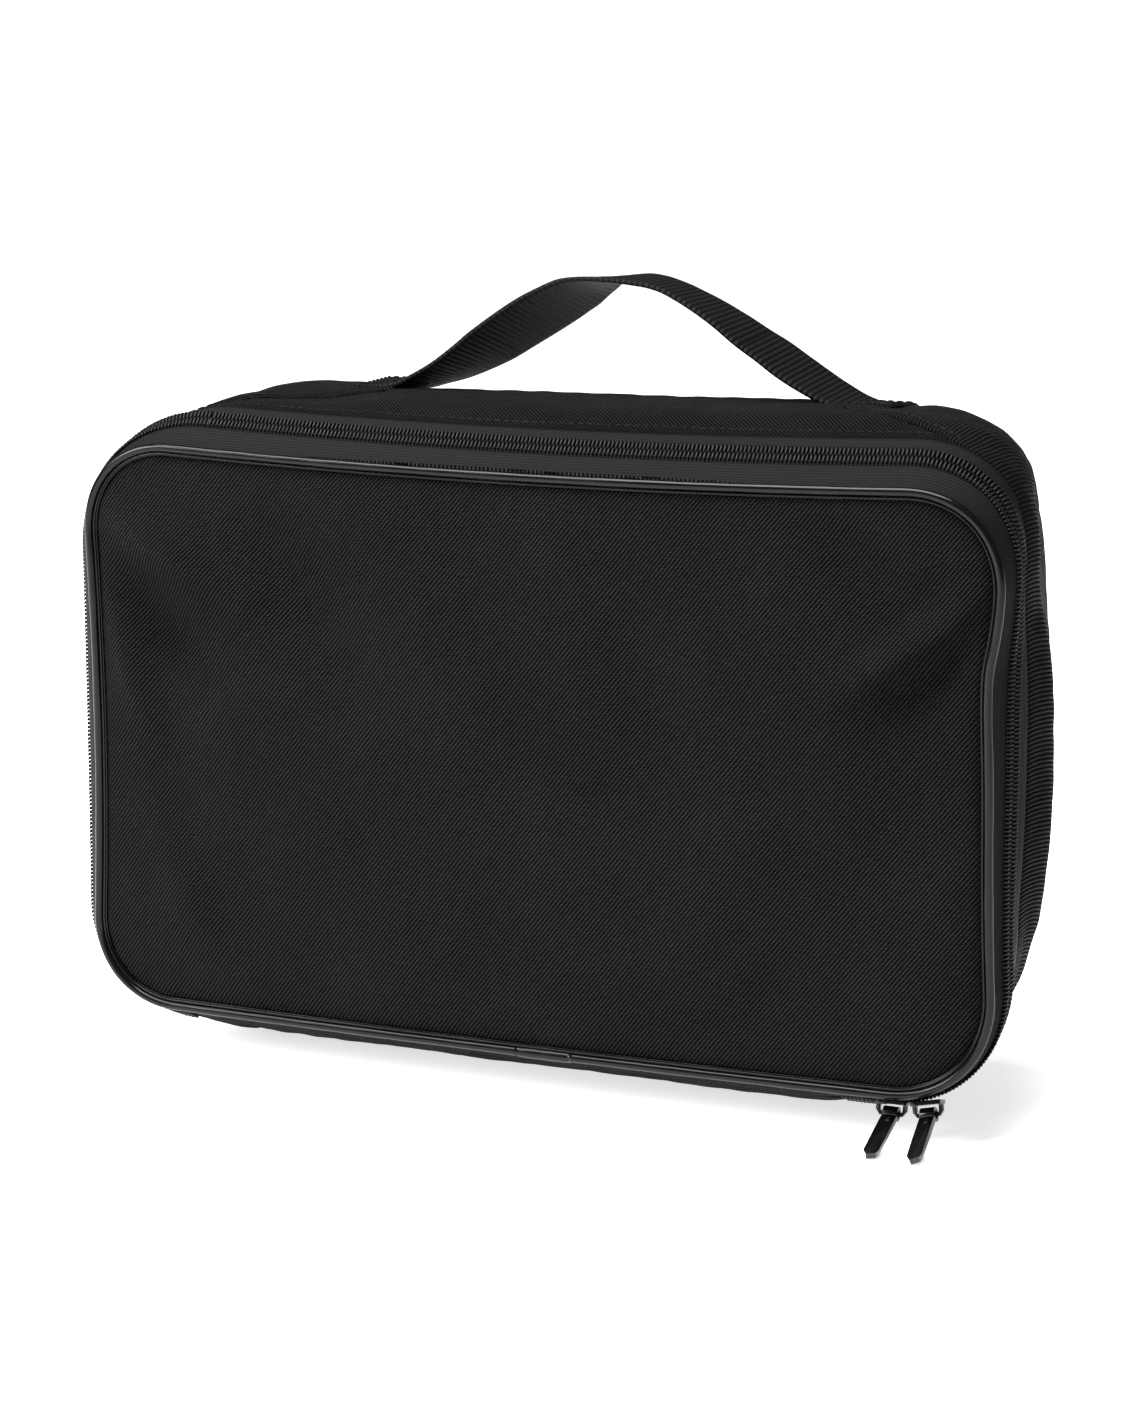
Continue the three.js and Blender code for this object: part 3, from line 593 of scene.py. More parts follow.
def buildFront():
    inset = frontPanel["inset"]
    flat = scanRows(outline(0, inset), frontPanel["rows"], frontPanel["cols"])
    x, z = flat[..., 0], flat[..., 1]
    grid = np.stack([x, frontSurface(x, z, inset), z], -1)
    panel = clothPiece("front_panel_cloth", grid, clothThickness, twill, keepUv=np.stack([x, z], -1) / 1000)
    settle(panel, "lid", ["front_panel"])


buildFront()
print("front panel built")

piping = {"bead": 1.4, "ridge": 0.42, "ridgeInset": 1.8, "ridgeLift": 0.15, "flangeInset": 1.2, "flangeLift": 0.55,
          "sleeveFrom": -3.5, "sleeveTo": 16.5, "sleeveGrowth": 0.35}


def loopAt(y, inset=0.0):
    xz = outline(y, inset)
    return np.stack([xz[:, 0], np.full(loopCount, float(y)), xz[:, 1]], 1)


# Directions pointing out of a closed loop, in its own plane.
def loopOut(points):
    t = np.roll(points, -1, 0) - np.roll(points, 1, 0)
    out = np.stack([-t[:, 2], np.zeros(len(t)), t[:, 0]], 1)
    return out / np.linalg.norm(out, axis=1, keepdims=True)


def buildPiping():
    path = loopAt(0)
    out = loopOut(path)
    wobble = 1 + 0.03 * np.sin(np.arange(loopCount) * 0.21) + 0.02 * np.sin(np.arange(loopCount) * 0.57)
    bead = sweptTube(path, piping["bead"] * wobble, piping["bead"] * wobble, out, 16)
    inner = path - out * piping["ridgeInset"] + np.array([0, piping["ridgeLift"], 0])
    ridge = sweptTube(inner, piping["ridge"], piping["ridge"] * 1.5, out, 10)
    # the flange that is sewn down behind the bead
    flange = sweptTube(path - out * piping["flangeInset"] + np.array([0, piping["flangeLift"], 0]), 1.4, 0.35,
                       out, 10)
    v, f = joined([bead, ridge, flange])
    cover = linkMesh("piping_bead", toWorld(v), f, pipingVinyl)
    settle(cover, "lid", ["piping_cover", "piping_core"])

    onBottom = (path[:, 2] < -60) & (path[:, 0] > piping["sleeveFrom"]) & (path[:, 0] < piping["sleeveTo"])
    run = path[onBottom]
    n = len(run)
    ends = np.minimum(np.arange(n), np.arange(n)[::-1])
    radius = piping["bead"] + piping["sleeveGrowth"] * np.clip(ends / 1.5, 0.25, 1)
    radius = radius + 0.04 * np.sin(np.arange(n) * 1.7)
    v, f = sweptTube(run, radius, radius, out[onBottom], 16, closed=False)
    sleeve = linkMesh("piping_join_sleeve", toWorld(v), f, pipingVinyl)
    settle(sleeve, "lid", ["piping_sleeve"])


buildPiping()
print("piping built")

zipParts = {
    "pitch": 1.26, "tooth": 3.5, "toothWidth": 0.95, "toothHeight": 1.25, "toothLift": 0.35, "halfChain": 1.45,
    "middle": 8.1, "topSetBack": 1.3,  # depth of the line where the halves meet, and how far back it goes on top
    "meet": 0.15, "tapeStart": 0.3, "tapeEnd": 15.6, "stripStart": 1.2, "stripEnd": 17.0,
    "runFrom": -118.0, "runTo": 100.0, "split": -89.7, "low": -80,  # where the lid hangs on its strip
    "sewing": {"pitch": 1.26, "length": 1.0, "width": 0.4, "height": 0.35}, "sewingLift": 0.95, "sewingAt": 1.7,
}


# Depth of the line where the zip's halves meet: further back along the top than at the bottom corners.
def zipCentre(z):
    return zipParts["middle"] + zipParts["topSetBack"] * np.clip((np.asarray(z) + 60) / 110, 0, 1)


def onHingeRun(p):
    return p[2] < -70 and zipParts["runFrom"] < p[0] < zipParts["runTo"]


# The part of a ring of cloth above or below the hinge's height, or behind the hinge run.
def splitRing(name, grid, owner, replaced, share):
    middle = grid[grid.shape[0] // 2]
    low = middle[:, 2] < zipParts["split"]
    run = low & (middle[:, 0] > zipParts["runFrom"]) & (middle[:, 0] < zipParts["runTo"])
    if share == "above":
        chosen = ~low
    elif share == "right":
        chosen = low & (middle[:, 0] > 0) & ~run
    elif share == "left":
        chosen = low & (middle[:, 0] < 0) & ~run
    else:
        chosen = ~run
    starts = np.where(chosen & ~np.roll(chosen, 1))[0]
    for k, start in enumerate(starts):
        length = 0
        while chosen[(start + length) % loopCount] and length < loopCount:
            length += 1
        cols = (start + np.arange(length + 1)) % loopCount
        piece = clothPiece(name if k == 0 else f"{name}_{k}", grid[:, cols], tapeThickness, zipTape)
        settle(piece, owner, replaced if k == 0 else ())


# Cloth between two depths from the zip's middle line, or from or to a fixed depth.
def tapeGrid(fromCentre, toCentre, rows, start=None, end=None):
    centre = zipCentre(loopAt(8)[:, 2])
    lo = centre + fromCentre if start is None else np.full(loopCount, start)
    hi = centre + toCentre if end is None else np.full(loopCount, end)
    layers = {round(y, 1): outline(y) for y in np.arange(0, 19, 0.1)}
    keys = np.array(sorted(layers))
    stack = np.stack([layers[k] for k in keys])
    col = np.arange(loopCount)
    grid = np.zeros((rows, loopCount, 3))
    for r in range(rows):
        y = lo + (hi - lo) * r / (rows - 1)
        i = np.clip(np.searchsorted(keys, y) - 1, 0, len(keys) - 2)
        w = ((y - keys[i]) / (keys[i + 1] - keys[i]))[:, None]
        xz = stack[i, col] * (1 - w) + stack[i + 1, col] * w
        grid[r] = np.stack([xz[:, 0], y, xz[:, 1]], 1)
    return grid


def buildZipTapes():
    front = tapeGrid(0, -zipParts["meet"], 7, start=zipParts["tapeStart"])
    splitRing("zip_tape_front", front, "lid", ["zip_tape_lid"], "above")
    splitRing("zip_end_cloth_right", front, "case", ["zip_end_right"], "right")
    splitRing("zip_end_cloth_left", front, "case", ["zip_end_left"], "left")
    rear = tapeGrid(zipParts["meet"], 0, 6, end=zipParts["tapeEnd"])
    splitRing("zip_tape_rear", rear, "case", ["zip_tape_body"], "all")
    strip = tapeGrid(0, 0, 9, zipParts["stripStart"], zipParts["stripEnd"])
    middle = strip[4]
    run = (middle[:, 2] < zipParts["low"]) & (middle[:, 0] > zipParts["runFrom"] - 1) & \
        (middle[:, 0] < zipParts["runTo"] + 1)
    piece = clothPiece("hinge_strip_cloth", strip[:, np.where(run)[0]], clothThickness, twill)
    settle(piece, nodes=["hinge_strip"])
    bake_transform(piece)


buildZipTapes()


def buildCoils():
    tooth, toothFaces = capsule(zipParts["tooth"], zipParts["toothWidth"], zipParts["toothHeight"], 7, 0.5)
    tooth = np.array(tooth)[:, [1, 0, 2]]  # across the zip
    grid = tapeGrid(-1.5, 1.5, 3)
    line = grid[1]
    out = outward(grid, True)[1]
    points, index = evenly(line, zipParts["pitch"] / 2, closed=True)
    groups = {"lid": [], "case": [], "endRight": [], "endLeft": []}
    for k, (p, i) in enumerate(zip(points, index)):
        if onHingeRun(p):
            continue
        i0, i1 = int(i) % loopCount, (int(i) + 1) % loopCount
        t = line[i1] - line[i0]
        t /= np.linalg.norm(t)
        n = out[i0]
        across = np.cross(n, t)
        if across[1] < 0:
            across = -across
        front = k % 2 == 0
        o = p + across * zipParts["halfChain"] * (-1 if front else 1) + n * zipParts["toothLift"]
        if front:
            key = "lid" if p[2] > zipParts["split"] else ("endRight" if p[0] > 0 else "endLeft")
        else:
            key = "case"
        groups[key].append((o, t, across, n))
    made = {
        "lid": ("zip_coil_front", "zip_coil_lid", "lid"), "case": ("zip_coil_rear", "zip_coil_body", "case"),
        "endRight": ("zip_coil_end_right", None, "case"), "endLeft": ("zip_coil_end_left", None, "case"),
    }
    for key, (name, node, owner) in made.items():
        if not groups[key]:
            continue
        v, f = stamp(tooth, toothFaces, groups[key])
        settle(linkMesh(name, toWorld(v), f, coilNylon), owner, [node] if node else ())
    # two rows of sewing that hold the coil's halves to their tapes
    for side, owner in ((-1, "lid"), (1, "case")):
        middle = side * zipParts["sewingAt"]
        row = tapeGrid(middle - 0.2, middle + 0.2, 3)
        path, up = row[1], outward(row, True)[1]
        keep = path[:, 2] > zipParts["split"]
        if side > 0:
            keep = ~((path[:, 2] < zipParts["low"]) & (path[:, 0] < zipParts["runTo"]))
        start = int(np.where(keep & ~np.roll(keep, 1))[0][0]) if not keep.all() else 0
        order = (start + np.arange(int(keep.sum()))) % loopCount
        v, f = stitches(path[order] + up[order] * zipParts["sewingLift"], up[order], **zipParts["sewing"])
        settle(linkMesh(f"zip_sewing_{owner}", toWorld(v), f, threadPolyester), owner)


buildCoils()
print("zip built")

gusset = {
    "start": 15.6, "end": 92.2, "rows": 48,
    "seamTurn": 0.9, "frontTurn": 0.7, "backTurn": 1.0, "sideRaised": 0.35,  # how far the cloth turns in at its seams
    "tipLeft": -67.0, "tipRight": 85.0, "nearTip": 47.0, "farTip": 73.0, "seamCorner": 134.0, "bottomSeam": 105.0,
    # soft ridges and hollows: from and to (x, y, z), half width, height
    "folds": [
        ((141, 18, 94), (152, 24, 60), 5.0, 1.2),
        ((138, 24, 98), (150, 40, 66), 6.0, -1.4),
        ((153, 26, 48), (153, 30, -40), 6.0, 1.2),
        ((154, 50, 50), (150, 44, -10), 10.0, -1.2),
        ((148, 60, 20), (150, 40, -60), 9.0, 0.8),
        ((120, 30, 105), (95, 60, 104), 8.0, -1.0),
        ((-125, 24, 100), (-70, 30, 105), 7.0, -0.8),
        ((-110, 50, 98), (-80, 60, 104), 8.0, 0.7),
        ((-40, 30, 106), (30, 26, 106), 8.0, -0.5),
        ((60, 22, 105), (110, 26, 103), 6.0, 0.5),
    ],
}


# Moves points along their normals by the folds and an uneven stuffing.
def softened(p, n):
    x, y, z = p[..., 0], p[..., 1], p[..., 2]
    calm = np.clip((y - gusset["start"]) / 8, 0, 1) * np.clip((91.5 - y) / 10, 0, 1)
    lift = np.zeros(p.shape[:-1])
    for a, b, half, tall in gusset["folds"]:
        a, b = np.array(a, float), np.array(b, float)
        d = b - a
        t = np.clip(((p - a) @ d) / (d @ d), 0, 1)
        distance = np.linalg.norm(p - a - t[..., None] * d, axis=-1)
        lift += tall * np.exp(-(distance / half) ** 2)
    lift += 0.35 * ripple(x + z, y * 1.3 - z * 0.3, 21, 42) + 0.12 * ripple(x - z, y * 1.5, 22, 15)
    moved = p + n * (lift * calm)[..., None]
    moved[..., 2] = np.maximum(moved[..., 2], floorZ + 0.15)
    return moved


# How far in along the top a side gusset reaches at a depth.
def seamX(y, tip):
    g = gusset
    corner = g["seamCorner"]
    t = abs(tip)
    if y <= g["nearTip"]:
        s = (y - g["start"]) / (g["nearTip"] - g["start"])
        return corner + (t - corner) * np.sin(s * math.pi / 2) ** 0.85
    if y <= g["farTip"]:
        return t
    s = (y - g["farTip"]) / (g["end"] - g["farTip"])
    return t + (corner - t) * s ** 1.5


# Fractional column where the upper or lower half of a loop passes x.
def columnOfX(loop, x, upper):
    n = loopCount
    topStart, topEnd = -cornerSteps, sideSteps["top"] + cornerSteps
    if upper:
        cols = np.arange(topStart, topEnd + 1)
    else:
        first = sideSteps["top"] + cornerSteps + sideSteps["right"]
        cols = np.arange(first, first + 2 * cornerSteps + sideSteps["bottom"] + 1)
    xs = loop[cols % n, 0]
    if upper:
        return float(np.interp(x, xs, cols))
    return float(np.interp(-x, -xs, cols))


def sampleLoop(loop, c0, c1, count):
    cols = np.linspace(c0, c1, 400)
    n = loopCount
    i = np.floor(cols).astype(int)
    w = (cols - i)[:, None]
    p = loop[i % n] * (1 - w) + loop[(i + 1) % n] * w
    s = np.concatenate([[0], np.cumsum(np.linalg.norm(np.diff(p, axis=0), axis=1))])
    at = np.linspace(0, s[-1], count)
    return np.stack([np.interp(at, s, p[:, 0]), np.interp(at, s, p[:, 1])], 1)


def buildGussets():
    g = gusset
    ys = g["start"] + (g["end"] - g["start"]) * np.linspace(0, 1, g["rows"])
    pieces = {
        "gusset_top": (lambda loop, y: (columnOfX(loop, -seamX(y, g["tipLeft"]), True),
                                        columnOfX(loop, seamX(y, g["tipRight"]), True)), 150, twillTurned),
        "gusset_right": (lambda loop, y: (columnOfX(loop, seamX(y, g["tipRight"]), True),
                                          columnOfX(loop, g["bottomSeam"], False)), 170, twill),
        "gusset_bottom": (lambda loop, y: (columnOfX(loop, g["bottomSeam"], False),
                                           columnOfX(loop, -g["bottomSeam"], False)), 110, twill),
        "gusset_left": (lambda loop, y: (columnOfX(loop, -g["bottomSeam"], False),
                                         columnOfX(loop, -seamX(y, g["tipLeft"]), True) + loopCount), 170, twill),
    }
    edges = {}
    for name, (limits, cols, material) in pieces.items():
        rows = []
        for y in ys:
            loop = outline(y)
            c0, c1 = limits(loop, y)
            xz = sampleLoop(loop, c0, c1, cols)
            rows.append(np.stack([xz[:, 0], np.full(cols, y), xz[:, 1]], 1))
        grid = np.stack(rows)
        n = outward(grid)
        grid = softened(grid, n)
        # cloth turns in at its seams
        gap = np.linalg.norm(np.diff(grid, axis=1), axis=2)
        fromStart = np.concatenate([np.zeros((len(ys), 1)), np.cumsum(gap, 1)], 1)
        fromEnd = fromStart[:, -1:] - fromStart
        turn = g["seamTurn"] * (np.exp(-fromStart / 1.3) + np.exp(-fromEnd / 1.3))
        front, back = (ys - g["start"])[:, None], (g["end"] - ys)[:, None]
        raised = g["sideRaised"] if name in ("gusset_left", "gusset_right") else 0.0
        turn = turn + g["frontTurn"] * np.exp(-front / 1.6) + g["backTurn"] * np.exp(-back / 2.0) - raised
        grid = grid - n * turn[..., None]
        grid[..., 2] = np.maximum(grid[..., 2], floorZ + 0.12)
        settle(clothPiece(name + "_cloth", grid, clothThickness, material), "case", [name])
        edges[name] = (grid, n)
    # topstitching beside the seams
    lines = []
    for name, column in (("gusset_right", 4), ("gusset_left", -5)):
        grid, n = edges[name]
        lines.append(stitches(grid[2:-2, column] + n[2:-2, column] * 0.1, n[2:-2, column]))
    grid, n = edges["gusset_top"]
    lines.append(stitches(grid[2] + n[2] * 0.05, n[2]))
    v, f = joined(lines)
    settle(linkMesh("gusset_topstitching", toWorld(v), f, threadPolyester), "case")


buildGussets()
print("gussets built")

backPanel = {"rows": 90, "cols": 140, "inset": 0.6, "depth": 92.6, "edgeTurn": 1.5, "unevenness": 0.12,
             "halfWidth": 136, "halfHeight": 88, "radius": 38}


def buildBack():
    b = backPanel
    flat = scanRows(outline(92.0, b["inset"]), b["rows"], b["cols"])
    x, z = flat[..., 0], flat[..., 1]
    overX = np.maximum(np.abs(x) - b["halfWidth"] + b["radius"], 0)
    overZ = np.maximum(np.abs(z) - b["halfHeight"] + b["radius"], 0)
    straight = np.minimum(b["halfWidth"] - np.abs(x), b["halfHeight"] - np.abs(z))
    rim = np.where((overX == 0) & (overZ == 0), straight, b["radius"] - np.hypot(overX, overZ))
    rim = np.clip(rim, 0, None)
    y = b["depth"] - b["edgeTurn"] * np.exp(-rim / 1.6)
    y = y + b["unevenness"] * ripple(x, z, 31, 60) * (1 - np.exp(-rim / 9))
    panel = clothPiece("back_panel_cloth", np.stack([x, y, z], -1), clothThickness, twill,
                       keepUv=np.stack([x, z], -1) / 1000)
    settle(panel, "case", ["back_panel"])


buildBack()
print("back built")

handle = {
    "width": 25.0, "thick": 1.7, "depth": 60.0, "ribPitch": 1.85, "ribHeight": 0.08,
    "from": -79, "to": 99, "leftRoot": -33, "rightRoot": 51,  # its sewn ends, and where its free middle starts
    "bendFrom": (0, 0.014, 0.2105), "bendTo": (0, 0.014, 0.2235),
    "tabs": {"left": (-79.0, -63.5), "right": (84.5, 99.0)}, "tabHalf": 14.3,
    "height": [(-80, 103.3), (-70, 103.4), (-64, 104), (-57, 106.5), (-50, 109.5), (-42, 114), (-35, 118.5),
               (-28, 123.1), (-21, 127.5), (-15, 131), (-8, 134.9), (-1.5, 137.9), (5, 139.9), (12, 140.2),
               (18, 139.6), (24, 138.1), (31, 135.1), (37, 132), (44, 127.8), (50, 123.8), (57, 119.6),
               (63, 115.6), (70, 111.4), (77, 107.7), (84, 105), (90, 103.8), (100, 103.5)],
    "bank": [(-80, 0), (-64, 1.5), (-50, 3.3), (-42, 4.5), (-35, 5.5), (-21, 6), (-8, 5), (-1.5, 3), (5, 0.8),
             (15, 0), (24, 0.3), (40, -0.4), (50, -1.2), (63, -1.7), (75, -1.2), (90, 0), (100, 0)],
}


def strapGrid():
    height, bank = curveThrough(handle["height"]), curveThrough(handle["bank"])
    rear = np.array([0, 1.0, 0])
    xs = np.linspace(handle["from"], handle["to"], 420)
    centre = np.stack([xs, np.full_like(xs, handle["depth"]), height(xs)], 1)
    s = np.concatenate([[0], np.cumsum(np.linalg.norm(np.diff(centre, axis=0), axis=1))])
    xs = np.interp(np.linspace(0, s[-1], 460), s, xs)
    centre = np.stack([xs, np.full_like(xs, handle["depth"]), height(xs)], 1)
    tangent = np.gradient(centre, axis=0)
    tangent /= np.linalg.norm(tangent, axis=1, keepdims=True)
    tilt = np.arcsin(np.clip(bank(xs) / (handle["width"] / 2), -0.9, 0.9))[:, None]
    upFlat = np.cross(tangent, rear)
    upFlat = np.where(upFlat[:, 2:] < 0, -upFlat, upFlat)
    rearward = rear * np.cos(tilt) - upFlat * np.sin(tilt)
    up = upFlat * np.cos(tilt) + rear * np.sin(tilt)
    return centre, rearward, up, s[-1]


# Height of the case's top at some places along it and one depth.
def topHeight(xs, y):
    loop = outline(y)
    cols = np.arange(-cornerSteps, sideSteps["top"] + cornerSteps + 1) % loopCount
    return np.interp(xs, loop[cols, 0], loop[cols, 1])


def buildHandle():
    centre, rearward, up, length = strapGrid()
    n = len(centre)
    half, thick = handle["width"] / 2, handle["thick"]
    # the strap's section: flat, with rounder woven edges
    top = []
    for c in np.linspace(-1, 1, 25):
        selvedge = 0.12 * math.exp(-((abs(c) - 0.93) / 0.03) ** 2)
        top.append((c * half, thick / 2 * (1 - 0.25 * abs(c) ** 8) + selvedge))
    section = np.array(top + [(c, -t) for c, t in reversed(top)])
    a = section[:, 0]
    inside = 1 - np.clip((np.abs(a) / half - 0.86) / 0.06, 0, 1)
    s = np.linspace(0, length, n)
    ribs = handle["ribHeight"] * np.cos(s / handle["ribPitch"] * 2 * math.pi)
    v, uv = [], []
    for i in range(n):
        b = section[:, 1] + np.sign(section[:, 1]) * ribs[i] * inside
        v.append(centre[i] + rearward[i] * a[:, None] + up[i] * b[:, None])
        uv.append(np.stack([np.full(len(a), s[i] / 1000), a / 1000], 1))
    m = len(section)
    v, uv = np.vstack(v), np.vstack(uv)
    # left root, grip and right root: the webbing bends where it leaves the case
    left, right = centre[:, 0] < handle["leftRoot"], centre[:, 0] > handle["rightRoot"]
    for name, mask, node in (("handle_strap_left", left, "handle_end_left"),
                             ("handle_strap_right", right, "handle_end_right"),
                             ("handle_strap_grip", ~left & ~right, "handle_strap")):
        rows = np.where(mask)[0]
        chosen = np.arange(max(rows[0] - 1, 0), min(rows[-1] + 2, n))
        idx = (chosen[:, None] * m + np.arange(m)).ravel()
        count = len(chosen)
        f = [(i * m + k, i * m + (k + 1) % m, (i + 1) * m + (k + 1) % m, (i + 1) * m + k)
             for i in range(count - 1) for k in range(m)]
        f += [tuple(reversed(range(m))), tuple((count - 1) * m + k for k in range(m))]
        piece = linkMesh(name, toWorld(v[idx]), f, webbingPolypropylene, uv[idx])
        settle(piece, nodes=[node])
        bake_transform(piece)

    # each root is covered by the side gusset's tip, sewn down in a box with a cross in it
    lines = []
    for name, (x0, x1) in handle["tabs"].items():
        xs = np.linspace(x0, x1, 22)
        ys = np.linspace(handle["depth"] - handle["tabHalf"], handle["depth"] + handle["tabHalf"], 34)
        gx, gy = np.meshgrid(xs, ys)
        z = np.stack([topHeight(xs, y) for y in ys])
        edge = np.minimum(np.minimum(gx - x0, x1 - gx), np.minimum(gy - ys[0], ys[-1] - gy))
        z = np.maximum(z, 104.3) + 0.55 - 1.2 * np.exp(-edge / 0.6)
        grid = np.stack([gx, gy, z], -1)
        settle(clothPiece(f"handle_tab_{name}", grid, clothThickness, twillTurned), "case")
        way = outward(grid)
        ring = [(2, c) for c in range(2, 20)] + [(r, 19) for r in range(2, 32)]
        ring += [(31, c) for c in range(19, 1, -1)] + [(r, 2) for r in range(31, 1, -1)]
        diagonal = [(int(2 + 29 * k / 17), 2 + k) for k in range(18)]
        other = [(int(2 + 29 * k / 17), 19 - k) for k in range(18)]
        for chain in (ring, diagonal, other):
            path = np.array([grid[r, c] + way[r, c] * 0.12 for r, c in chain])
            lines.append(stitches(path, np.array([way[r, c] for r, c in chain]), 2.8, 2.1))
    v, f = joined(lines)
    settle(linkMesh("handle_box_stitching", toWorld(v), f, threadPolyester), "case")


buildHandle()
print("handle built")


# A finely divided copy of a frame node, with softened edges, or shrunk a little about the seam's middle.
def dressed(node, name, material, owner, bevel=0.0, cut=0.0, shrink=None):
    piece = bpy.data.objects.new(name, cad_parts[node].data.copy())
    bpy.context.scene.collection.objects.link(piece)
    mesh = piece.data
    bm = bmesh.new()
    bm.from_mesh(mesh)
    bmesh.ops.remove_doubles(bm, verts=bm.verts, dist=1e-6)
    if cut:
        for _ in range(5):
            longEdges = [e for e in bm.edges if e.calc_length() > cut]
            if not longEdges:
                break
            bmesh.ops.subdivide_edges(bm, edges=longEdges, cuts=1)
    bmesh.ops.triangulate(bm, faces=bm.faces)
    bm.to_mesh(mesh)
    bm.free()
    co = np.empty(len(mesh.vertices) * 3)
    mesh.vertices.foreach_get("co", co)
    co = co.reshape(-1, 3)
    if shrink:
        co[:, 0] *= shrink[0]
        co[:, 2] = (co[:, 2] - seamMiddle) * shrink[1] + seamMiddle
        mesh.vertices.foreach_set("co", co.ravel())
    layer = mesh.uv_layers.get("cloth") or mesh.uv_layers.new(name="cloth")
    loops = np.empty(len(mesh.loops), int)
    mesh.loops.foreach_get("vertex_index", loops)
    uv = np.stack([co[:, 0], co[:, 2] + co[:, 1] * 0.7], 1)
    layer.data.foreach_set("uv", uv[loops].ravel())
    mesh.materials.clear()
    mesh.materials.append(material)
    mesh.update()
    if bevel:
        modifier = piece.modifiers.new("softEdge", "BEVEL")
        modifier.width = bevel / 1000
        modifier.segments = 3
        modifier.limit_method = "ANGLE"
        modifier.angle_limit = math.radians(35)
    mesh.polygons.foreach_set("use_smooth", [True] * len(mesh.polygons))
    mesh.set_sharp_from_angle(angle=math.radians(40))
    settle(piece, owner, [node])


for node, material, slotName, owner in (
    ("lid_seam_binding", bindingTape, "lining", "lid"), ("mesh_pocket", netMesh, "mesh", "lid"),
    ("pocket_binding", elasticBand, "elastic", "lid"),
    ("back_seam_binding", bindingTape, "lining", "case"), ("cable_loops_upper", elasticBand, "elastic", "case"),
    ("cable_loops_lower", elasticBand, "elastic", "case"),
):
    dressed(node, node + "_cloth", material, owner, cut=0.012,
            shrink=(0.965, 0.94) if "seam_binding" in node else None)
for node in ("zip_tab_right", "zip_tab_left"):
    dressed(node, node + "_cloth", twill, "case", bevel=0.25)
for node, owner in (("slider_1", "slider_left"), ("slider_2", "slider_right"), ("pull_1", "pull_left"),
                    ("pull_2", "pull_right")):
    dressed(node, node + "_plated", blackNickel, owner, bevel=0.28)
print("inside pieces and zip sliders dressed")

padding = {"foam": 2.3, "lining": 0.6, "gap": 0.6, "sideGap": 0.9, "frontInset": 5.2,
           "foamStart": 19.5, "liningStart": 17.5, "end": 87.5}


# Foam and lining that follow the cloth they sit behind.
def buildPadding():
    cloth, foam, gap, lining = clothThickness, padding["foam"], padding["gap"], padding["lining"]
    for node, back, thick, material, slotName in (
        ("front_foam", cloth + gap, foam, foamPolyurethane, "foam"),
        ("front_lining", cloth + foam + 2 * gap, lining, liningCloth, "lining"),
    ):
        flat = scanRows(outline(0, padding["frontInset"]), 90, 140)
        x, z = flat[..., 0], flat[..., 1]
        grid = np.stack([x, frontSurface(x, z, frontPanel["inset"]) + back, z], -1)
        piece = clothPiece(node + "_cloth", grid, thick, material, keepUv=np.stack([x, z], -1) / 1000)
        settle(piece, "lid", [node])
    for node, material, slotName, inset, fill in (
        ("back_board", boardPolypropylene, "board", 2.6, None), ("back_foam", foamPolyurethane, "foam", 5.4, 0.8),
        ("back_lining", liningCloth, "lining", 5.4, 0.8),
    ):
        low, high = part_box(node)
        thick = (high[1] - low[1]) * 1000
        outer = (high[1] - seamPlane) * 1000 - 0.2
        flat = scanRows(outline(90, inset), 60, 100)
        x, z = flat[..., 0], flat[..., 1]
        y = outer + 0.12 * ripple(x, z, 33, 50)
        piece = clothPiece(node + "_sheet", np.stack([x, y, z], -1), thick - 0.25, material,
                           keepUv=np.stack([x, z], -1) / 1000)
        settle(piece, "case", [node])
    for node, start, back, thick, material, slotName in (
        ("gusset_foam", padding["foamStart"], cloth + padding["sideGap"], foam, foamPolyurethane, "foam"),
        ("gusset_lining", padding["liningStart"], cloth + padding["sideGap"] + foam + gap, lining, liningCloth,
         "lining"),
    ):
        ring = np.stack([loopAt(y) for y in np.linspace(start, padding["end"], 36)])
        n = outward(ring, True)
        piece = clothPiece(node + "_cloth", softened(ring, n) - n * back, thick, material, wrap=True)
        settle(piece, "case", [node])


buildPadding()
print("padding and lining built")

studio = {
    "floor": "#f4f4f4", "light": "#ffffff", "floorHalf": 40, "glowNear": 0.7, "glowFar": 0.82, "world": 0.2,
    # where each softbox stands and points, its width and height, and its power
    "softboxes": {
        "overheadSoftbox": ((-0.25, -0.45, 1.6), (0, 0, 0.1), 1.3, 1.0, 84.0),
        "sideSoftbox": ((-1.15, -1.0, 0.9), (-0.05, 0, 0.1), 0.7, 0.9, 52.0),
    },
}


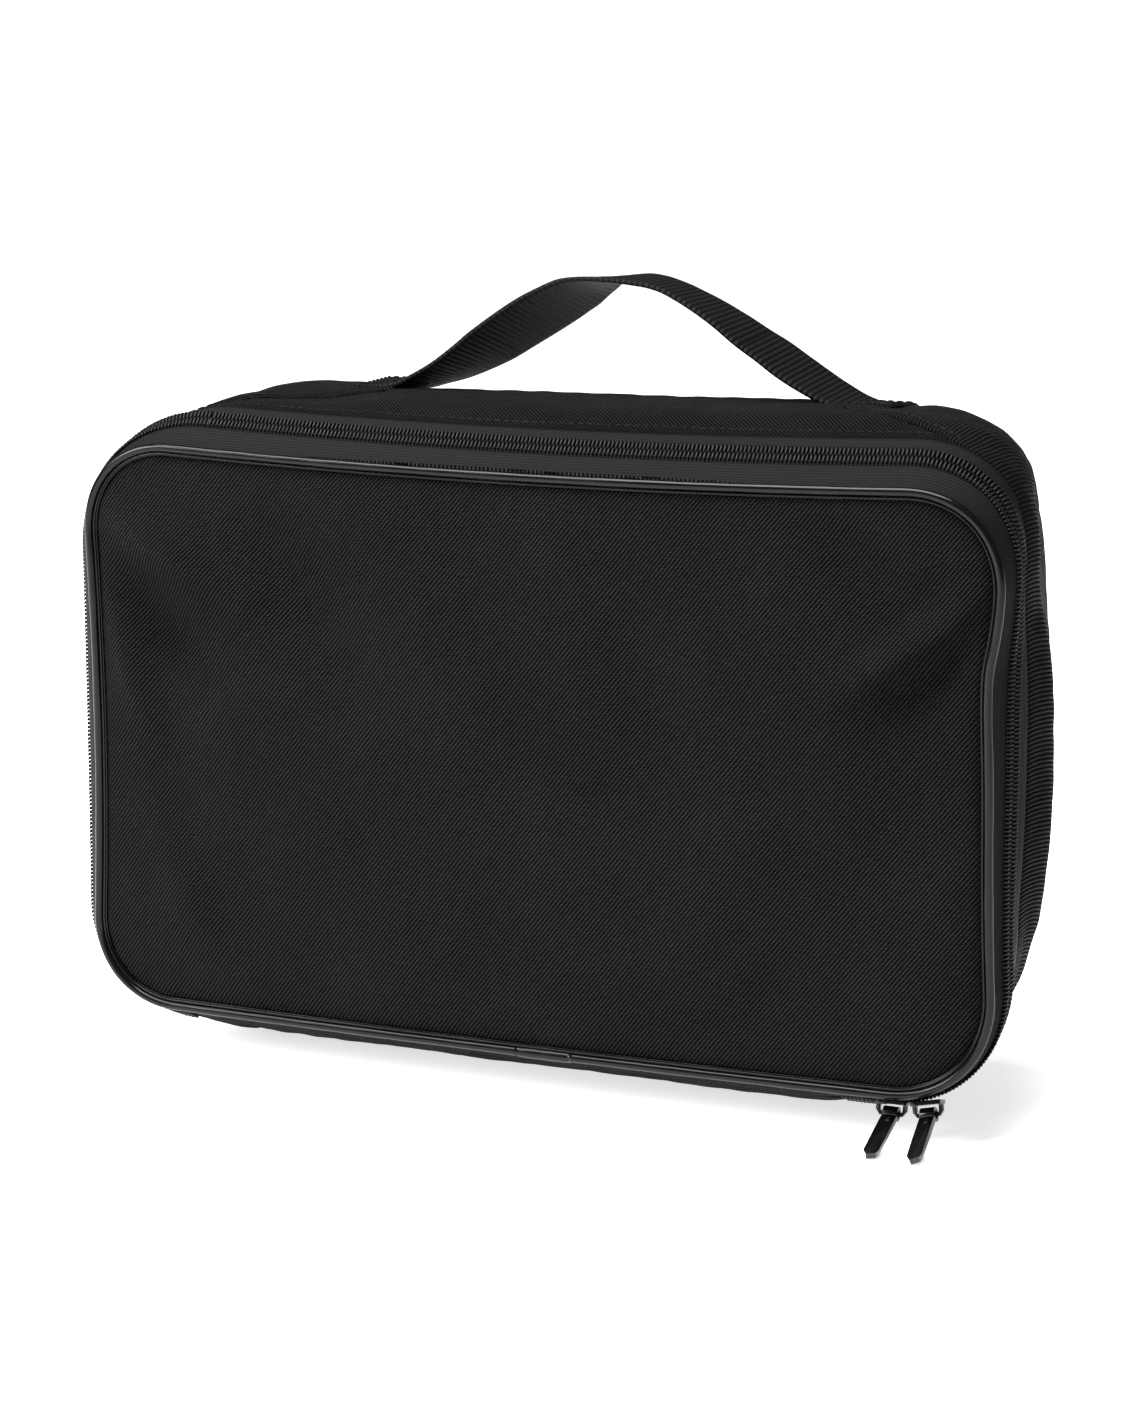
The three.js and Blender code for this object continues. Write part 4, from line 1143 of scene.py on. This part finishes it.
def buildStudio():
    mesh = bpy.data.meshes.new("studioFloor")
    size = studio["floorHalf"]
    mesh.from_pydata([(-size, -size, 0), (size, -size, 0), (size, size, 0), (-size, size, 0)], [], [(0, 1, 2, 3)])
    floor = bpy.data.objects.new("studioFloor", mesh)
    bpy.context.scene.collection.objects.link(floor)
    # Background paper, coated matt: an even white, with no shine.
    material, tree, shader = newMaterial("floorMattPaper", {
        "Base Color": linear(studio["floor"]), "Roughness": 0.9, "Specular IOR Level": 0.1,
        "Emission Color": linear(studio["light"])})
    # lit from below further out, so that the paper stays white where the softboxes don't reach
    place = addNode(tree, "ShaderNodeTexCoord")
    away = addNode(tree, "ShaderNodeVectorMath", {"operation": "LENGTH"}, {0: (place, "Object")})
    glow = addNode(tree, "ShaderNodeMapRange", {"From Min": 0.5, "From Max": 2.2, "To Min": studio["glowNear"],
                                                "To Max": studio["glowFar"]}, {"Value": (away, "Value")})
    tree.links.new(glow.outputs["Result"], shader.inputs["Emission Strength"])
    mesh.materials.append(material)

    world = bpy.data.worlds.new("studioWorld")
    world.use_nodes = True
    background = world.node_tree.nodes["Background"]
    background.inputs["Color"].default_value = linear(studio["light"])
    background.inputs["Strength"].default_value = studio["world"]
    bpy.context.scene.world = world

    for name, (place, aim, width, height, power) in studio["softboxes"].items():
        light = bpy.data.lights.new(name, "AREA")
        light.shape = "RECTANGLE"
        light.size, light.size_y = width, height
        light.energy = power
        lamp = bpy.data.objects.new(name, light)
        bpy.context.scene.collection.objects.link(lamp)
        lamp.location = place
        lamp.rotation_euler = (Vector(aim) - Vector(place)).to_track_quat("-Z", "Y").to_euler()
    bpy.context.scene.view_settings.view_transform = "Standard"


view = {"lens": 92.43937, "azimuth": 22.6, "elevation": 11.8, "distance": 1083.0, "toRight": 11.3, "toTop": 18.1}


def buildCamera():
    azimuth, elevation = math.radians(view["azimuth"]), math.radians(view["elevation"])
    back = np.array([math.sin(azimuth) * math.cos(elevation), -math.cos(azimuth) * math.cos(elevation),
                     math.sin(elevation)])
    right = np.array([math.cos(azimuth), math.sin(azimuth), 0.0])
    up = np.cross(back, right)
    place = toWorld(back * view["distance"] + right * view["toRight"] + up * view["toTop"])
    data = bpy.data.cameras.new("camera")
    data.lens = view["lens"]
    data.sensor_width = 36
    data.clip_start, data.clip_end = 0.05, 200
    camera = bpy.data.objects.new("camera", data)
    bpy.context.scene.collection.objects.link(camera)
    rows = [[right[k], up[k], back[k], place[k]] for k in range(3)]
    camera.matrix_world = Matrix(rows + [[0, 0, 0, 1]])
    bpy.context.scene.camera = camera


buildStudio()
buildCamera()
print("floor, lights and camera placed")
